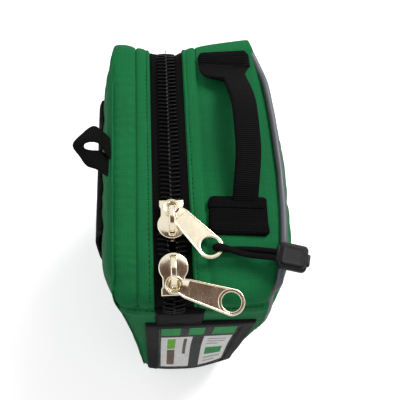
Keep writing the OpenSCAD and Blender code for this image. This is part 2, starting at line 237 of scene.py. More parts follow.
def shellPiece(name, outer, inner, cloth, material, picks=None):
    # two grids of one size, joined round their rims into one closed skin; picks: a material number for each
    # cell of the outer grid, with number 1 for the rest
    rows, columns = outer.shape[:2]
    count = rows * columns
    quads, _ = gridQuads(rows, columns)
    spot = np.arange(count).reshape(rows, columns)
    rim = np.concatenate([spot[0, :-1], spot[:-1, -1], spot[-1, :0:-1], spot[:0:-1, 0]])
    side = np.stack([rim, np.roll(rim, -1), np.roll(rim, -1) + count, rim + count], -1)
    verts = np.concatenate([outer.reshape(-1, 3), inner.reshape(-1, 3)])
    faces = [quads, quads[:, ::-1] + count, side]
    corners = [None] * 3
    if cloth is not None:
        corners = [cloth.reshape(-1, 2)[face % count] for face in faces]
    if picks is not None:
        picks = np.concatenate([picks, np.ones(len(quads) + len(side), int)])
    return addPiece(name, verts, faces, corners, material, picks)


def endCaps(layers, count):
    # first and last ring of a stack, each as one face
    return [np.arange(count)[None, ::-1], np.arange(count)[None] + (layers - 1) * count]


def sweepPiece(name, profile, path, side, up, material, wide=None, high=None, closed=False, crease=42,
               start=0.0):
    # closed outline carried along a path: point = path + wide * a * side + high * b * up, ends capped
    rows, columns = len(path), len(profile)
    wide = np.ones(rows) if wide is None else wide
    high = np.ones(rows) if high is None else high
    across = (wide[:, None] * profile[:, 0])[..., None] * side[:, None]
    above = (high[:, None] * profile[:, 1])[..., None] * up[:, None]
    verts = path[:, None] + across + above
    quads, cells = gridQuads(rows, columns, wrap=True, wrapRows=closed)
    around = lengths(closedLine(profile)) * np.mean(wide)
    along = start + lengths(closedLine(path))
    faces = [quads]
    corners = [np.stack([around[cells[..., 1]], along[cells[..., 0]]], -1)]
    if not closed:
        faces += endCaps(rows, columns)
        corners += [None, None]
    return addPiece(name, verts.reshape(-1, 3), faces, corners, material, crease=crease)


def stackPiece(name, rings, material):
    # equal outlines stacked one on another and capped at both ends
    rings = np.asarray(rings, float)
    layers, count = rings.shape[:2]
    quads, cells = gridQuads(layers, count, wrap=True)
    around = lengths(closedLine(rings[layers // 2]))
    rise = lengths(rings[:, 0])
    cloth = np.stack([around[cells[..., 1]], rise[cells[..., 0]]], -1)
    return addPiece(name, rings.reshape(-1, 3), [quads, *endCaps(layers, count)], [cloth, None, None],
                    material)


def padPiece(name, centre, across, along, size, edge, material, corner, crown=0.0, bend=None):
    # flat-backed pad: rounded outlines shrink as a quarter circle of radius edge turns the side into the top,
    # and the last, well inside, stands higher by crown
    wide, tall, thick = size
    a = quarter(5)
    inset = np.concatenate([[0.0], edge * (1 - np.cos(a)), [edge + 0.35 * min(wide, tall) / 2]])
    level = np.concatenate([[0.0], thick - edge + edge * np.sin(a), [thick + crown]])
    rings = []
    for d, z in zip(inset, level):
        o = roundedBox(wide - 2 * d, tall - 2 * d, max(corner - d, 0.3))
        rings.append(centre + o[:, :1] * across + o[:, 1:] * along + z * upward)
    layers, count = len(rings), len(rings[0])
    quads, _ = gridQuads(layers, count, wrap=True)
    flat = np.concatenate(rings)
    plan = np.stack([(flat - centre) @ across, (flat - centre) @ along], -1)
    faces = [quads, *endCaps(layers, count)]
    verts = flat if bend is None else bend(flat)
    return addPiece(name, verts, faces, [plan[face] for face in faces], material)


# one stitch: places along its length, and its thickness and sink there, as shares of its length and radius
stitchShape = {"along": (-0.5, -0.38, 0.0, 0.38, 0.5), "thick": (0.25, 0.85, 1.0, 0.85, 0.25),
               "sink": (-0.7, -0.15, 0.0, -0.15, -0.7), "sides": 6, "flat": 0.8}


def stitchRow(name, path, out, material, length=2.3, gap=0.55, radius=0.22, lift=0.08):
    # one short spindle of thread per stitch, laid along a line; out is the outward direction at each point
    run = lengths(path)
    count = max(1, int(run[-1] / (length + gap)))
    at = (np.arange(count) + 0.5) * run[-1] / count

    def pick(grid):
        return np.stack([np.interp(at, run, grid[:, k]) for k in range(3)], -1)

    tangent = unit(pick(np.gradient(path, axis=0)))
    normal = unit(pick(np.broadcast_to(out, path.shape)))
    basis = np.stack([tangent, np.cross(tangent, normal), normal], 1)
    along, thick, sink = (np.array(stitchShape[key])[:, None] for key in ("along", "thick", "sink"))
    a = circle(stitchShape["sides"])
    high = thick * stitchShape["flat"] * np.sin(a) + sink
    shape = np.stack(np.broadcast_arrays(along * length, thick * radius * np.cos(a), high * radius), -1)
    rings, sides = shape.shape[:2]
    verts = (pick(path) + lift * normal)[:, None] + np.einsum("vk,nkj->nvj", shape.reshape(-1, 3), basis)
    quads, _ = gridQuads(rings, sides, wrap=True)
    caps = np.concatenate(endCaps(rings, sides))
    start = np.arange(count)[:, None, None] * rings * sides
    faces = [(quads[None] + start).reshape(-1, 4), (caps[None] + start).reshape(-1, sides)]
    return addPiece(name, verts.reshape(-1, 3), faces, [None, None], material, crease=80)


# how a piece joins the part
def dress(nodes):
    if nodes:
        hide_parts(*nodes)


def together(piece, body, slot, *nodes):
    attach(piece, body)
    dress(nodes)


def blended(piece, body, start, end, slot, *nodes):
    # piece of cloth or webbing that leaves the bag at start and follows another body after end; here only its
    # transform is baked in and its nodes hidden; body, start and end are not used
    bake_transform(piece)
    dress(nodes)


# materials
def startMaterial(name, **sockets):
    material = bpy.data.materials.new(name)
    material.use_nodes = True
    shader = material.node_tree.nodes["Principled BSDF"]
    for socket, value in sockets.items():
        shader.inputs[socket].default_value = value
    return material, material.node_tree, shader


def maths(tree, operation, first, second=None):
    node = tree.nodes.new("ShaderNodeMath")
    node.operation = operation
    for socket, value in zip(node.inputs, (first, second)):
        if isinstance(value, (int, float)):
            socket.default_value = value
        elif value is not None:
            tree.links.new(value, socket)
    return node.outputs[0]


def times(tree, first, second):
    return maths(tree, "MULTIPLY", first, second)


def plus(tree, first, second):
    return maths(tree, "ADD", first, second)


def objectPlace(tree):
    return tree.nodes.new("ShaderNodeTexCoord").outputs["Object"]


def clothPlace(tree):
    # cloth coordinates in metres, across and along the piece
    node = tree.nodes.new("ShaderNodeUVMap")
    node.uv_map = "cloth"
    split = tree.nodes.new("ShaderNodeSeparateXYZ")
    tree.links.new(node.outputs[0], split.inputs[0])
    return node.outputs[0], split.outputs[0], split.outputs[1]


def stretched(tree, vector, *scale):
    node = tree.nodes.new("ShaderNodeMapping")
    node.inputs["Scale"].default_value = scale
    tree.links.new(vector, node.inputs["Vector"])
    return node.outputs[0]


def noise(tree, vector, scale, detail=3.0):
    node = tree.nodes.new("ShaderNodeTexNoise")
    for socket, value in (("Scale", scale), ("Detail", detail), ("Roughness", 0.55)):
        node.inputs[socket].default_value = value
    tree.links.new(vector, node.inputs["Vector"])
    return node.outputs["Fac"]


def ranged(tree, value, low, high, first, last):
    node = tree.nodes.new("ShaderNodeMapRange")
    for socket, limit in zip(("From Min", "From Max", "To Min", "To Max"), (low, high, first, last)):
        node.inputs[socket].default_value = limit
    tree.links.new(value, node.inputs["Value"])
    return node.outputs[0]


def tint(tree, shader, value, low, high, dark, light):
    # base colour from dark to light as value goes from low to high
    node = tree.nodes.new("ShaderNodeMix")
    node.data_type = "RGBA"
    tree.links.new(ranged(tree, value, low, high, 0, 1), node.inputs[0])
    node.inputs[6].default_value = (*dark, 1.0)
    node.inputs[7].default_value = (*light, 1.0)
    tree.links.new(node.outputs[2], shader.inputs["Base Color"])


def roughen(tree, shader, value, low, high, first, last):
    tree.links.new(ranged(tree, value, low, high, first, last), shader.inputs["Roughness"])


def bumpy(tree, shader, height, strength, distance):
    node = tree.nodes.new("ShaderNodeBump")
    node.inputs["Strength"].default_value = strength
    node.inputs["Distance"].default_value = distance
    tree.links.new(height, node.inputs["Height"])
    tree.links.new(node.outputs[0], shader.inputs["Normal"])


# woven cloth: noise scales per metre, shares of each in the tone, and the height of the yarns in metres
weave = {"yarn": 900, "run": 60, "cloud": 26.0, "cloudShare": 0.42, "yarnShadeShare": 0.55, "tones": (0.12, 0.88),
         "uneven": 0.08, "slubHeight": 0.4, "height": 0.0003}


def wovenMaterial(name, dark, light, pitch, depth, roughness, streak=0.28, rib=False, gloss=0.04):
    # plain weave: gaps where either yarn wave crosses zero, yarns over and under by the sign of their product
    material, tree, shader = startMaterial(name, **{"Roughness": roughness, "Specular IOR Level": gloss})
    cloth, acrossCloth, alongCloth = clothPlace(tree)
    a = maths(tree, "SINE", times(tree, acrossCloth, math.pi / (pitch[0] * mm)))
    b = maths(tree, "SINE", times(tree, alongCloth, math.pi / (pitch[1] * mm)))
    flatA = maths(tree, "ABSOLUTE", a)
    flatB = maths(tree, "ABSOLUTE", b)
    if rib:
        # webbing: strong cross ribs, with fine warp lines between them
        height = times(tree, maths(tree, "POWER", flatB, 1.1), ranged(tree, flatA, 0, 1, 0.7, 1.0))
    else:
        gaps = maths(tree, "POWER", maths(tree, "MINIMUM", flatA, flatB), 0.5)
        height = times(tree, gaps, ranged(tree, times(tree, a, b), -1, 1, 0.6, 1.0))
    slub = noise(tree, stretched(tree, cloth, weave["yarn"], weave["run"], 1), 1.0, 2.0)
    slubAcross = noise(tree, stretched(tree, cloth, weave["run"], weave["yarn"], 1), 1.0, 2.0)
    cloud = noise(tree, objectPlace(tree), weave["cloud"], 4.0)
    tone = plus(tree, times(tree, slub, streak), times(tree, slubAcross, streak))
    tone = plus(tree, maths(tree, "SUBTRACT", tone, streak), times(tree, cloud, weave["cloudShare"]))
    # the yarn relief darkens the colour in the gaps and where a yarn passes under: partly the darker gaps of
    # the cloth itself, partly painted shade
    shade = plus(tree, times(tree, height, weave["yarnShadeShare"]), tone)
    tint(tree, shader, shade, *weave["tones"], dark, light)
    roughen(tree, shader, cloud, 0.3, 0.7, roughness - weave["uneven"], roughness + weave["uneven"])
    bumpy(tree, shader, plus(tree, height, times(tree, slub, weave["slubHeight"])), depth, weave["height"])
    return material


def plasticMaterial(name, dark, light, roughness, grain=900.0, depth=0.15, gloss=0.3):
    # moulded plastic: fine grain in the bump, cloudy roughness and tone
    material, tree, shader = startMaterial(name, **{"Roughness": roughness, "Specular IOR Level": gloss})
    place = objectPlace(tree)
    fine = noise(tree, place, grain)
    tint(tree, shader, noise(tree, place, 60.0, 4.0), 0.35, 0.65, dark, light)
    roughen(tree, shader, fine, 0.3, 0.7, roughness - 0.06, roughness + 0.08)
    bumpy(tree, shader, fine, depth, 0.0002)
    return material


def metalMaterial(name, dark, light, roughness, scratch):
    # plated metal: cloudy tint, fine random scratches and a little unevenness in the reflection
    material, tree, shader = startMaterial(name, **{"Metallic": 1.0, "Roughness": roughness})
    place = objectPlace(tree)
    cloud = noise(tree, place, 120.0, 4.0)
    lines = noise(tree, stretched(tree, place, 2500, 180, 400), 1.0, 2.0)
    tint(tree, shader, cloud, 0.3, 0.7, dark, light)
    roughen(tree, shader, plus(tree, lines, cloud), 0.7, 1.3, roughness - 0.05, roughness + 0.1)
    bumpy(tree, shader, plus(tree, times(tree, lines, 0.3), cloud), scratch, 0.0003)
    return material


def threadMaterial(name, dark, light):
    # sewing thread: fine uneven plies
    material, tree, shader = startMaterial(name, **{"Roughness": 0.7, "Specular IOR Level": 0.08})
    ply = noise(tree, objectPlace(tree), 1800.0, 2.0)
    tint(tree, shader, ply, 0.35, 0.65, dark, light)
    bumpy(tree, shader, ply, 0.3, 0.0002)
    return material


def paperMaterial(name, dark, light, roughness, crinkle=0.2, size=220.0, coat=0.0, gloss=0.06):
    # printed paper or film: fibres in the tone, soft crinkles in the bump
    sockets = {"Roughness": roughness, "Coat Weight": coat, "Coat Roughness": 0.12,
               "Specular IOR Level": gloss}
    material, tree, shader = startMaterial(name, **sockets)
    place = objectPlace(tree)
    fold = noise(tree, place, size)
    tint(tree, shader, plus(tree, noise(tree, place, 1500.0, 2.0), fold), 0.7, 1.3, dark, light)
    roughen(tree, shader, fold, 0.3, 0.7, roughness - 0.06, roughness + 0.06)
    bumpy(tree, shader, fold, crinkle, 0.0012)
    return material


def foilMaterial():
    # crinkled metallised film: broken facets in the bump
    material, tree, shader = startMaterial("foilFilm", **{"Metallic": 1.0, "Roughness": 0.2})
    node = tree.nodes.new("ShaderNodeTexVoronoi")
    node.inputs["Scale"].default_value = 150.0
    tree.links.new(objectPlace(tree), node.inputs["Vector"])
    cloud = noise(tree, objectPlace(tree), 90.0)
    tint(tree, shader, cloud, 0, 1, (0.62, 0.62, 0.64), (0.86, 0.85, 0.84))
    bumpy(tree, shader, plus(tree, node.outputs["Distance"], cloud), 0.6, 0.002)
    return material


def reflectiveMaterial():
    # glass-bead tape: fine sparkle of tone and roughness over a grey-violet ground, with worn patches
    sockets = {"Metallic": 0.25, "Roughness": 0.42, "Specular IOR Level": 0.5}
    material, tree, shader = startMaterial("reflectiveTape", **sockets)
    bead = noise(tree, objectPlace(tree), 2600.0, 2.0)
    wear = noise(tree, objectPlace(tree), 45.0, 4.0)
    tone = plus(tree, times(tree, bead, 0.6), times(tree, wear, 0.7))
    tint(tree, shader, tone, 0.4, 0.9, (0.058, 0.061, 0.076), (0.118, 0.124, 0.144))
    roughen(tree, shader, wear, 0.3, 0.7, 0.34, 0.55)
    bumpy(tree, shader, bead, 0.25, 0.0002)
    return material


def vinylMaterial():
    # clear soft film: mostly see-through, with a glossy, slightly wavy face
    sockets = {"Base Color": (0.9, 0.92, 0.92, 1), "Roughness": 0.08, "Alpha": 0.03,
               "Specular IOR Level": 0.1}
    material, tree, shader = startMaterial("clearVinyl", **sockets)
    wave = noise(tree, objectPlace(tree), 40.0, 2.0)
    roughen(tree, shader, wave, 0.3, 0.7, 0.05, 0.16)
    bumpy(tree, shader, wave, 0.25, 0.002)
    return material


def grey(level):
    return (level, level, level)


greenCloth = wovenMaterial("greenCloth", (0.0035, 0.080, 0.025), (0.0115, 0.198, 0.064), (0.9, 0.9), 0.5,
                           0.74, streak=0.2, gloss=0.1)
greenLining = wovenMaterial("greenLining", (0.004, 0.050, 0.020), (0.012, 0.120, 0.045), (0.6, 0.6), 0.3, 0.6)
blackWebbing = wovenMaterial("blackWebbing", grey(0.0006), (0.0084, 0.0080, 0.0082), (0.8, 1.1), 0.9, 0.65,
                             rib=True)
padWebbing = wovenMaterial("padWebbing", grey(0.0005), (0.0056, 0.0054, 0.0055), (0.8, 1.1), 0.9, 0.65,
                           rib=True)
zipTape = wovenMaterial("zipTape", grey(0.0008), (0.0052, 0.0057, 0.0054), (0.5, 0.6), 0.5, 0.65, rib=True)
bindingTape = wovenMaterial("bindingTape", (0.006, 0.0062, 0.0062), (0.024, 0.025, 0.025), (0.55, 0.55),
                            0.5, 0.6)
patchTape = wovenMaterial("patchTape", (0.0018, 0.0018, 0.0019), (0.009, 0.0092, 0.0095), (0.55, 0.55), 0.5,
                          0.6)
whiteGauze = wovenMaterial("whiteGauze", (0.55, 0.54, 0.50), (0.86, 0.85, 0.81), (1.1, 1.1), 0.6, 0.85,
                           streak=0.3)
braidCord = wovenMaterial("braidCord", grey(0.001), grey(0.009), (0.5, 0.7), 0.8, 0.55)
coilNylon = plasticMaterial("coilNylon", grey(0.0012), grey(0.003), 0.34, 700.0, 0.05, gloss=0.12)
# pale grey beads on the black coil heads: a painted highlight, the glint along the middle of the zip
coilHeadHighlight = plasticMaterial("coilHeadHighlight", grey(0.03), (0.09, 0.09, 0.088), 0.4, 700.0, 0.05)
gripPlastic = plasticMaterial("gripPlastic", grey(0.0025), grey(0.006), 0.45, gloss=0.2)
gripFace = plasticMaterial("gripFace", (0.0062, 0.0064, 0.0067), (0.0105, 0.0107, 0.0112), 0.55, 1400.0, 0.2,
                           gloss=0.2)
nickel = metalMaterial("nickel", (0.83, 0.75, 0.57), (0.90, 0.82, 0.64), 0.15, 0.012)
tweezerSteel = metalMaterial("tweezerSteel", grey(0.55), grey(0.72), 0.3, 0.2)
greenThread = threadMaterial("greenThread", (0.0015, 0.022, 0.008), (0.004, 0.045, 0.017))
blackThread = threadMaterial("blackThread", grey(0.001), grey(0.006))
paleThread = threadMaterial("paleThread", grey(0.006), grey(0.016))
cardBlack = paperMaterial("cardBlack", (0.022, 0.024, 0.023), (0.04, 0.042, 0.041), 0.4, gloss=0.0)
cardWhite = paperMaterial("cardWhite", (0.62, 0.62, 0.60), (0.80, 0.80, 0.78), 0.42, gloss=0.0)
cardGreen = paperMaterial("cardGreen", (0.01, 0.22, 0.05), (0.02, 0.32, 0.075), 0.4, gloss=0.0)
cardLime = paperMaterial("cardLime", (0.12, 0.36, 0.03), (0.18, 0.48, 0.05), 0.4, gloss=0.0)
cardBrown = paperMaterial("cardBrown", (0.10, 0.07, 0.045), (0.18, 0.125, 0.085), 0.42, gloss=0.0)
cardGrey = paperMaterial("cardGrey", grey(0.30), grey(0.42), 0.42, gloss=0.0)
paperWrap = paperMaterial("paperWrap", (0.74, 0.75, 0.74), (0.88, 0.88, 0.86), 0.6, 0.5, 120.0)
blueFilm = paperMaterial("blueFilm", (0.16, 0.34, 0.55), (0.30, 0.50, 0.70), 0.3, 0.5, 140.0, 0.5)
cartonBoard = paperMaterial("cartonBoard", (0.62, 0.60, 0.55), (0.78, 0.76, 0.70), 0.6, 0.1, 90.0)
coreBoard = paperMaterial("coreBoard", (0.30, 0.21, 0.12), (0.46, 0.34, 0.21), 0.8, 0.2, 300.0)
foilFilm = foilMaterial()
reflectiveTape = reflectiveMaterial()
clearVinyl = vinylMaterial()
print("materials made")

# bag: outline in millimetres and degrees
bag = {"length": 160.0, "height": 180.0, "topWidth": 85.0, "baseWidth": 66.0, "wall": 2.4,
       "frontBulge": 10.4, "backBulge": 8.8, "farRadius": 16.0, "nearRadius": 8.0, "baseRadius": 16.0,
       "slope": 6.0, "slopeRun": 23.5}
zipper = {"x": -12.7, "gap": 19.4, "facing": 8.2, "hem": 0.4, "facingThick": 1.2, "tapeThick": 0.8,
          "pitch": 2.6, "wire": 0.56, "inner": -0.3, "outer": 5.1, "tail": 7.0}
hingeLeft = zipper["x"] - zipper["gap"] / 2 - zipper["facing"] - zipper["hem"]
hingeRight = zipper["x"] + zipper["gap"] / 2 + zipper["facing"] + zipper["hem"]
nearEnd = -bag["length"] / 2
farEnd = bag["length"] / 2
lean = math.radians(bag["slope"])
nearArcZ = bag["height"] - bag["slopeRun"] * math.sin(lean) - bag["nearRadius"] * math.cos(lean)
slopeY = nearEnd + bag["nearRadius"] * (1 - math.sin(lean)) + bag["slopeRun"] * math.cos(lean)
farSeamZ = bag["height"] - bag["farRadius"]


def arcPoints(y, z, radius, first, last, count):
    a = np.radians(np.linspace(first, last, count))
    return np.stack([y + radius * np.cos(a), z + radius * np.sin(a)], -1)


def sideRun():
    # closed side outline from the near base corner up, over the top, down the far end and back along the
    # base, softened by the mean of neighbouring points, with its outward directions
    near, far, base, height = (bag[key] for key in ("nearRadius", "farRadius", "baseRadius", "height"))
    line = np.concatenate([
        [[nearEnd, base]],
        arcPoints(nearEnd + near, nearArcZ, near, 180, 90 + bag["slope"], 24),
        [[slopeY, height]],
        arcPoints(farEnd - far, height - far, far, 90, 0, 30),
        arcPoints(farEnd - base, base, base, 0, -90, 24),
        arcPoints(nearEnd + base, base, base, -90, -180, 24)])
    line = evenly(line, 0.5)[:-1]
    neighbours = 6
    line = np.mean([np.roll(line, k, 0) for k in range(-neighbours, neighbours + 1)], 0)
    tangent = unit(np.roll(line, -1, 0) - np.roll(line, 1, 0))
    return closedLine(line), closedLine(np.stack([-tangent[:, 1], tangent[:, 0]], -1))


runLine, runOut = sideRun()
runAt = lengths(runLine)
runTotal = runAt[-1]


def onRun(s):
    # place and outward direction in the side view at distance s
    s = np.asarray(s, float) % runTotal
    return [np.interp(s, runAt, grid[:, k]) for grid in (runLine, runOut) for k in (0, 1)]


def runPlace(y, z):
    return float(runAt[np.argmin((runLine[:, 0] - y) ** 2 + (runLine[:, 1] - z) ** 2)])


nearSeam = runPlace(nearEnd, nearArcZ - 3)
farSeam = runPlace(farEnd, farSeamZ)
zipMiddle = runPlace(-5, bag["height"])
baseFar = runPlace(farEnd, bag["baseRadius"])

# seams of the filled bag; here and below a pair says where a change starts and where it ends
backSeam = {"loose": 0.5, "skew": 0.015, "nearTuck": 1.2, "nearFlare": 1.4, "lid": (150, 176),
            "nearTurn": (64, 80), "farTuck": 4.4, "farTurn": (56, 82), "farRise": (110, 172)}
frontSeam = {"bow": 3.1, "farDrop": 3.5, "nearDraw": 9.0, "middle": 5, "farReach": 64, "nearReach": 80,
             "lowBow": 0.4, "bowRise": (90, 172), "nearPower": 2.3, "draw": 0.55, "drawTop": 0.22,
             "drawRise": (145, 174), "eases": ((0.42, 122, 24), (0.22, 85, 22))}


def halfWidth(z):
    # straight taper from base to top
    return bag["baseWidth"] / 2 + (bag["topWidth"] - bag["baseWidth"]) / 2 * z / bag["height"]


def backSeamX(y, z):
    # straight taper, tucked in below and flared above at the near end, and tucked in at the far top
    f = backSeam
    lid = smooth(z, *f["lid"])
    tuck = (f["nearTuck"] * (1 - lid) - f["nearFlare"] * lid) * smooth(-y, *f["nearTurn"])
    tuck = tuck + f["farTuck"] * smooth(y, *f["farTurn"]) * smooth(z, *f["farRise"])
    return -(halfWidth(z) + f["loose"] + f["skew"] * y - tuck)


def frontSeamX(y, z):
    # bows out along the top, and draws in at the near end by a share that eases at two heights
    f = frontSeam
    ahead = np.clip((y - f["middle"]) / f["farReach"], 0, None)
    behind = np.clip((f["middle"] - y) / f["nearReach"], 0, None)
    rise = f["lowBow"] + (1 - f["lowBow"]) * smooth(z, *f["bowRise"])
    draw = f["draw"] + f["drawTop"] * smooth(z, *f["drawRise"])
    for depth, level, reach in f["eases"]:
        draw = draw - depth * hump(z, level, reach)
    bowed = (f["bow"] - f["farDrop"] * ahead**2) * rise
    return halfWidth(z) + bowed - f["nearDraw"] * behind ** f["nearPower"] * draw


def seamX(side, y, z):
    # where the gusset meets the front (+1) or back (-1) panel
    return frontSeamX(y, z) if side > 0 else backSeamX(y, z)


# slump of the filled bag: near shoulders, ears of the far top edge, belly and rounding of the near end
slump = {"shoulder": 3.22, "shoulderPower": 1.8, "shoulderSpot": (-77, 176, 14), "earFront": 6.8,
         "earBack": 4.9, "earLevel": 0.4, "earPower": 0.8, "earBackPower": 1.3, "earSpot": (76, 176, 12),
         "earDraw": 3.74, "earDrawPower": 1.7, "zipSide": (-10, -2), "belly": 7.3, "bellyTurn": (60, 80),
         "bellyTop": (30, 88), "bellyFoot": (14, 38), "footShare": 0.3, "frontDroop": 1.1,
         "frontPower": 1.5, "backDroop": 0.15, "backPower": 2, "roundFront": 0.4, "roundBack": 2.4,
         "roundPower": 4, "roundTurn": (58, 80)}


def settle(points):
    # by e = 0 on the middle line to 1 at the seams: the near end rounds back and swells at its foot, its
    # shoulders soften, and the far top edge stands up from the zip to its corners
    f = slump
    p = np.array(points, float)
    x, y, z = p[..., 0], p[..., 1], p[..., 2]
    front = x > 0
    e = np.clip(np.abs(x) / np.abs(np.where(front, seamX(1, y, z), seamX(-1, y, z))), 0, 1)
    frontE = np.where(front, e, 0)
    backE = np.where(x < 0, e, 0)
    shoulder = f["shoulder"] * e ** f["shoulderPower"] * spotAt(y, z, *f["shoulderSpot"])
    farTop = spotAt(y, z, *f["earSpot"])
    rightOfZip = smooth(x, *f["zipSide"])
    frontEar = f["earFront"] * (f["earLevel"] * rightOfZip + (1 - f["earLevel"]) * frontE ** f["earPower"])
    backEar = f["earBack"] * backE ** f["earBackPower"] * (1 - rightOfZip)
    ear = (frontEar + backEar) * farTop
    frontDroop = 1 - f["frontDroop"] * e ** f["frontPower"]
    backDroop = 1 - f["backDroop"] * e ** f["backPower"]
    foot = f["footShare"] + (1 - f["footShare"]) * smooth(z, *f["bellyFoot"])
    belly = f["belly"] * smooth(-y, *f["bellyTurn"]) * (1 - smooth(z, *f["bellyTop"])) * foot
    belly = belly * np.where(front, frontDroop, backDroop)
    deep = np.where(front, f["roundFront"], f["roundBack"])
    back = deep * e ** f["roundPower"] * smooth(-y, *f["roundTurn"])
    drawn = f["earDraw"] * frontE ** f["earDrawPower"] * farTop
    return np.stack([x - drawn, y + back + shoulder + ear - belly, z - shoulder + ear], -1)


# where the gusset turns the near corner, and where the far top corner lies
wrapDepth = 4.4
wrapTurn = (0.1, 0.8)
farCorner = {"along": (46, 74), "rise": (146, 172)}


def nearFace(outY):
    # 1 on the near end, where the gusset wraps round the corner to meet the front panel
    return smooth(-outY, *wrapTurn)


def cornerSink(y, z):
    # 1 at the far top corner, where the front seam draws in under the strip
    return smooth(y, *farCorner["along"]) * smooth(z, *farCorner["rise"])


def gussetPatch(name, first, last, edges, lift, thick, material, rows=150, columns=40):
    # strip of cloth: side outline at s, moved out by lift(s, x, v); x runs edge to edge as v goes 0 to 1
    s = np.linspace(first, last, rows)[:, None]
    v = eased(columns)[None]
    y, z, outY, outZ = onRun(s)
    x = edges[0](y, z) * (1 - v) + edges[1](y, z) * v
    h = lift(s, x, v)
    y, z, outY, outZ, s = (np.broadcast_to(grid, x.shape) for grid in (y, z, outY, outZ, s))
    outer = np.stack([x, y + outY * h, np.maximum(z + outZ * h, 0.0)], -1)
    inner = np.stack([x, y + outY * (h - thick), z + outZ * (h - thick)], -1)
    return shellPiece(name, settle(outer), settle(inner), np.stack([x, s], -1), material)


def fixedEdge(x):
    return lambda y, z: x + 0 * y


def panelEdge(side):
    return lambda y, z: seamX(side, y, z)


def onTop(s, x, h):
    # line on the gusset at distance s, raised by h, and its outward directions
    y, z, outY, outZ = onRun(s)
    return settle(levelLine(x, y + outY * h, z + outZ * h)), np.stack([0 * y, outY, outZ], -1)


def crossLine(s, x, h):
    # line across the gusset at one distance s, raised by h, and its outward direction
    y, z, outY, outZ = onRun(s)
    return settle(levelLine(x, y + outY * h, z + outZ * h)), np.array([0, float(outY), float(outZ)])


# sliders stand on the tapes; the pullers turn on a pivot above them
pullFacts = {"reach": 28.5, "farTurn": -50.0, "nearTurn": -19.0, "pivotY": 5.7, "pivotZ": 6.25, "farY": -37.3,
             "nearY": -65.2}
tapeDepth = zipper["facingThick"] + zipper["tapeThick"] / 2
farSlider = np.array([zipper["x"], pullFacts["farY"], bag["height"] - tapeDepth])
nearDrop = (slopeY - pullFacts["nearY"]) * math.tan(lean) + tapeDepth / math.cos(lean)
nearSlider = np.array([zipper["x"], pullFacts["nearY"], bag["height"] - nearDrop])

# pull cord: over the far puller's rim, down its hole and back under the rim, both ends in the grip
cordFacts = {"diameter": 3.0, "grip": (45.6, -61.0, 186.0), "gripTurn": -15.0}
# route chosen: how far each point is ahead, aside and up from the hole
cordSteps = [[33.8, -1.6, 1.5], [28.4, -1.6, 1.2], [22.6, -1.6, 0.4], [17, -1.5, 0.4], [12.4, -1.2, 1.4],
             [9, -0.8, 2.4], [6, -0.3, 2.8], [3.6, 0, 2.1], [2.4, 0, 0.2], [3.4, 0, -1.8], [6, 0.3, -2.6],
             [9, 0.8, -2.6], [12.4, 1.2, -2.2], [17, 1.5, -1], [22.6, 1.6, 0.2], [28.4, 1.6, 1.2],
             [33.8, 1.6, 1.5]]


def addPullCord():
    turn = math.radians(pullFacts["farTurn"])
    pointing = np.array([math.cos(turn), math.sin(turn), 0])
    hole = farSlider + [0, pullFacts["pivotY"], pullFacts["pivotZ"]] + pullFacts["reach"] * pointing
    ahead = unit((np.array(cordFacts["grip"]) - hole) * [1, 1, 0])
    aside = np.array([-ahead[1], ahead[0], 0])
    steps = np.array(cordSteps)
    route = hole + steps[:, :1] * ahead + steps[:, 1:2] * aside + steps[:, 2:] * upward
    path = evenly(curveThrough(route, 400), 0.55)
    cord = sweepPiece("pullCord", roundBar(cordFacts["diameter"] / 2, 14), path, *frames(path, aside),
                      braidCord)
    together(cord, "pull_tab", "black_webbing", "pull_cord")
    return cord, path


pullCord, cordPath = addPullCord()

# grip: tabs by shift along the cord, size and corner, with outlines as (height, inset), bottom first
gripTabs = {
    "pullGrip": {"shift": 0, "size": (14.5, 13.5), "corner": 2.4, "outlines": (
        (-2.8, 1.3), (-2.6, 0.7), (-2.1, 0.25), (-1.4, 0), (0.6, 0), (1.2, 0.2), (1.5, 0.55), (1.6, 1.0),
        (1.6, 1.35), (1.35, 1.5))},
    "pullGripFace": {"shift": -0.2, "size": (11.3, 10.3), "corner": 1.7, "outlines": (
        (1.0, 0), (2.0, 0), (2.4, 0.15), (2.6, 0.45), (2.65, 0.9), (2.55, 1.2), (2.55, 2.4))},
    "pullGripNub": {"shift": 7.55, "size": (2.2, 6.2), "corner": 0.7, "outlines": (
        (-2.0, 0.4), (-1.8, 0.15), (-1.2, 0), (0.0, 0), (0.4, 0.15), (0.55, 0.5))},
    "pullGripCollar": {"shift": -7.55, "size": (1.6, 8.4), "corner": 0.6, "outlines": (
        (-1.2, 0.35), (-1.0, 0.12), (-0.5, 0), (1.3, 0), (2.0, 0.15), (2.2, 0.45))}}
gripNodes = {"pullGrip": ["pull_grip"], "pullGripFace": ["pull_grip_cover"]}


def addPullGrip():
    # moulded tab: rounded outlines that swell to the middle, a raised face, an end nub and a collar
    turn = math.radians(cordFacts["gripTurn"])
    ahead = np.array([math.cos(turn), math.sin(turn), 0])
    aside = np.array([-math.sin(turn), math.cos(turn), 0])
    pieces = []
    for name, tab in gripTabs.items():
        centre = np.array(cordFacts["grip"]) + tab["shift"] * ahead
        wide, tall = tab["size"]
        rings = []
        for z, inset in tab["outlines"]:
            o = roundedBox(wide - 2 * inset, tall - 2 * inset, max(tab["corner"] - inset, 0.4), 7)
            rings.append(centre + o[:, :1] * ahead + o[:, 1:] * aside + z * upward)
        isFace = name == "pullGripFace"
        piece = stackPiece(name, rings, gripFace if isFace else gripPlastic)
        together(piece, "pull_tab", "grey_plastic" if isFace else "black_plastic", *gripNodes.get(name, []))
        pieces.append(piece)
    return pieces


gripPieces = addPullGrip()
print("pull cord made")

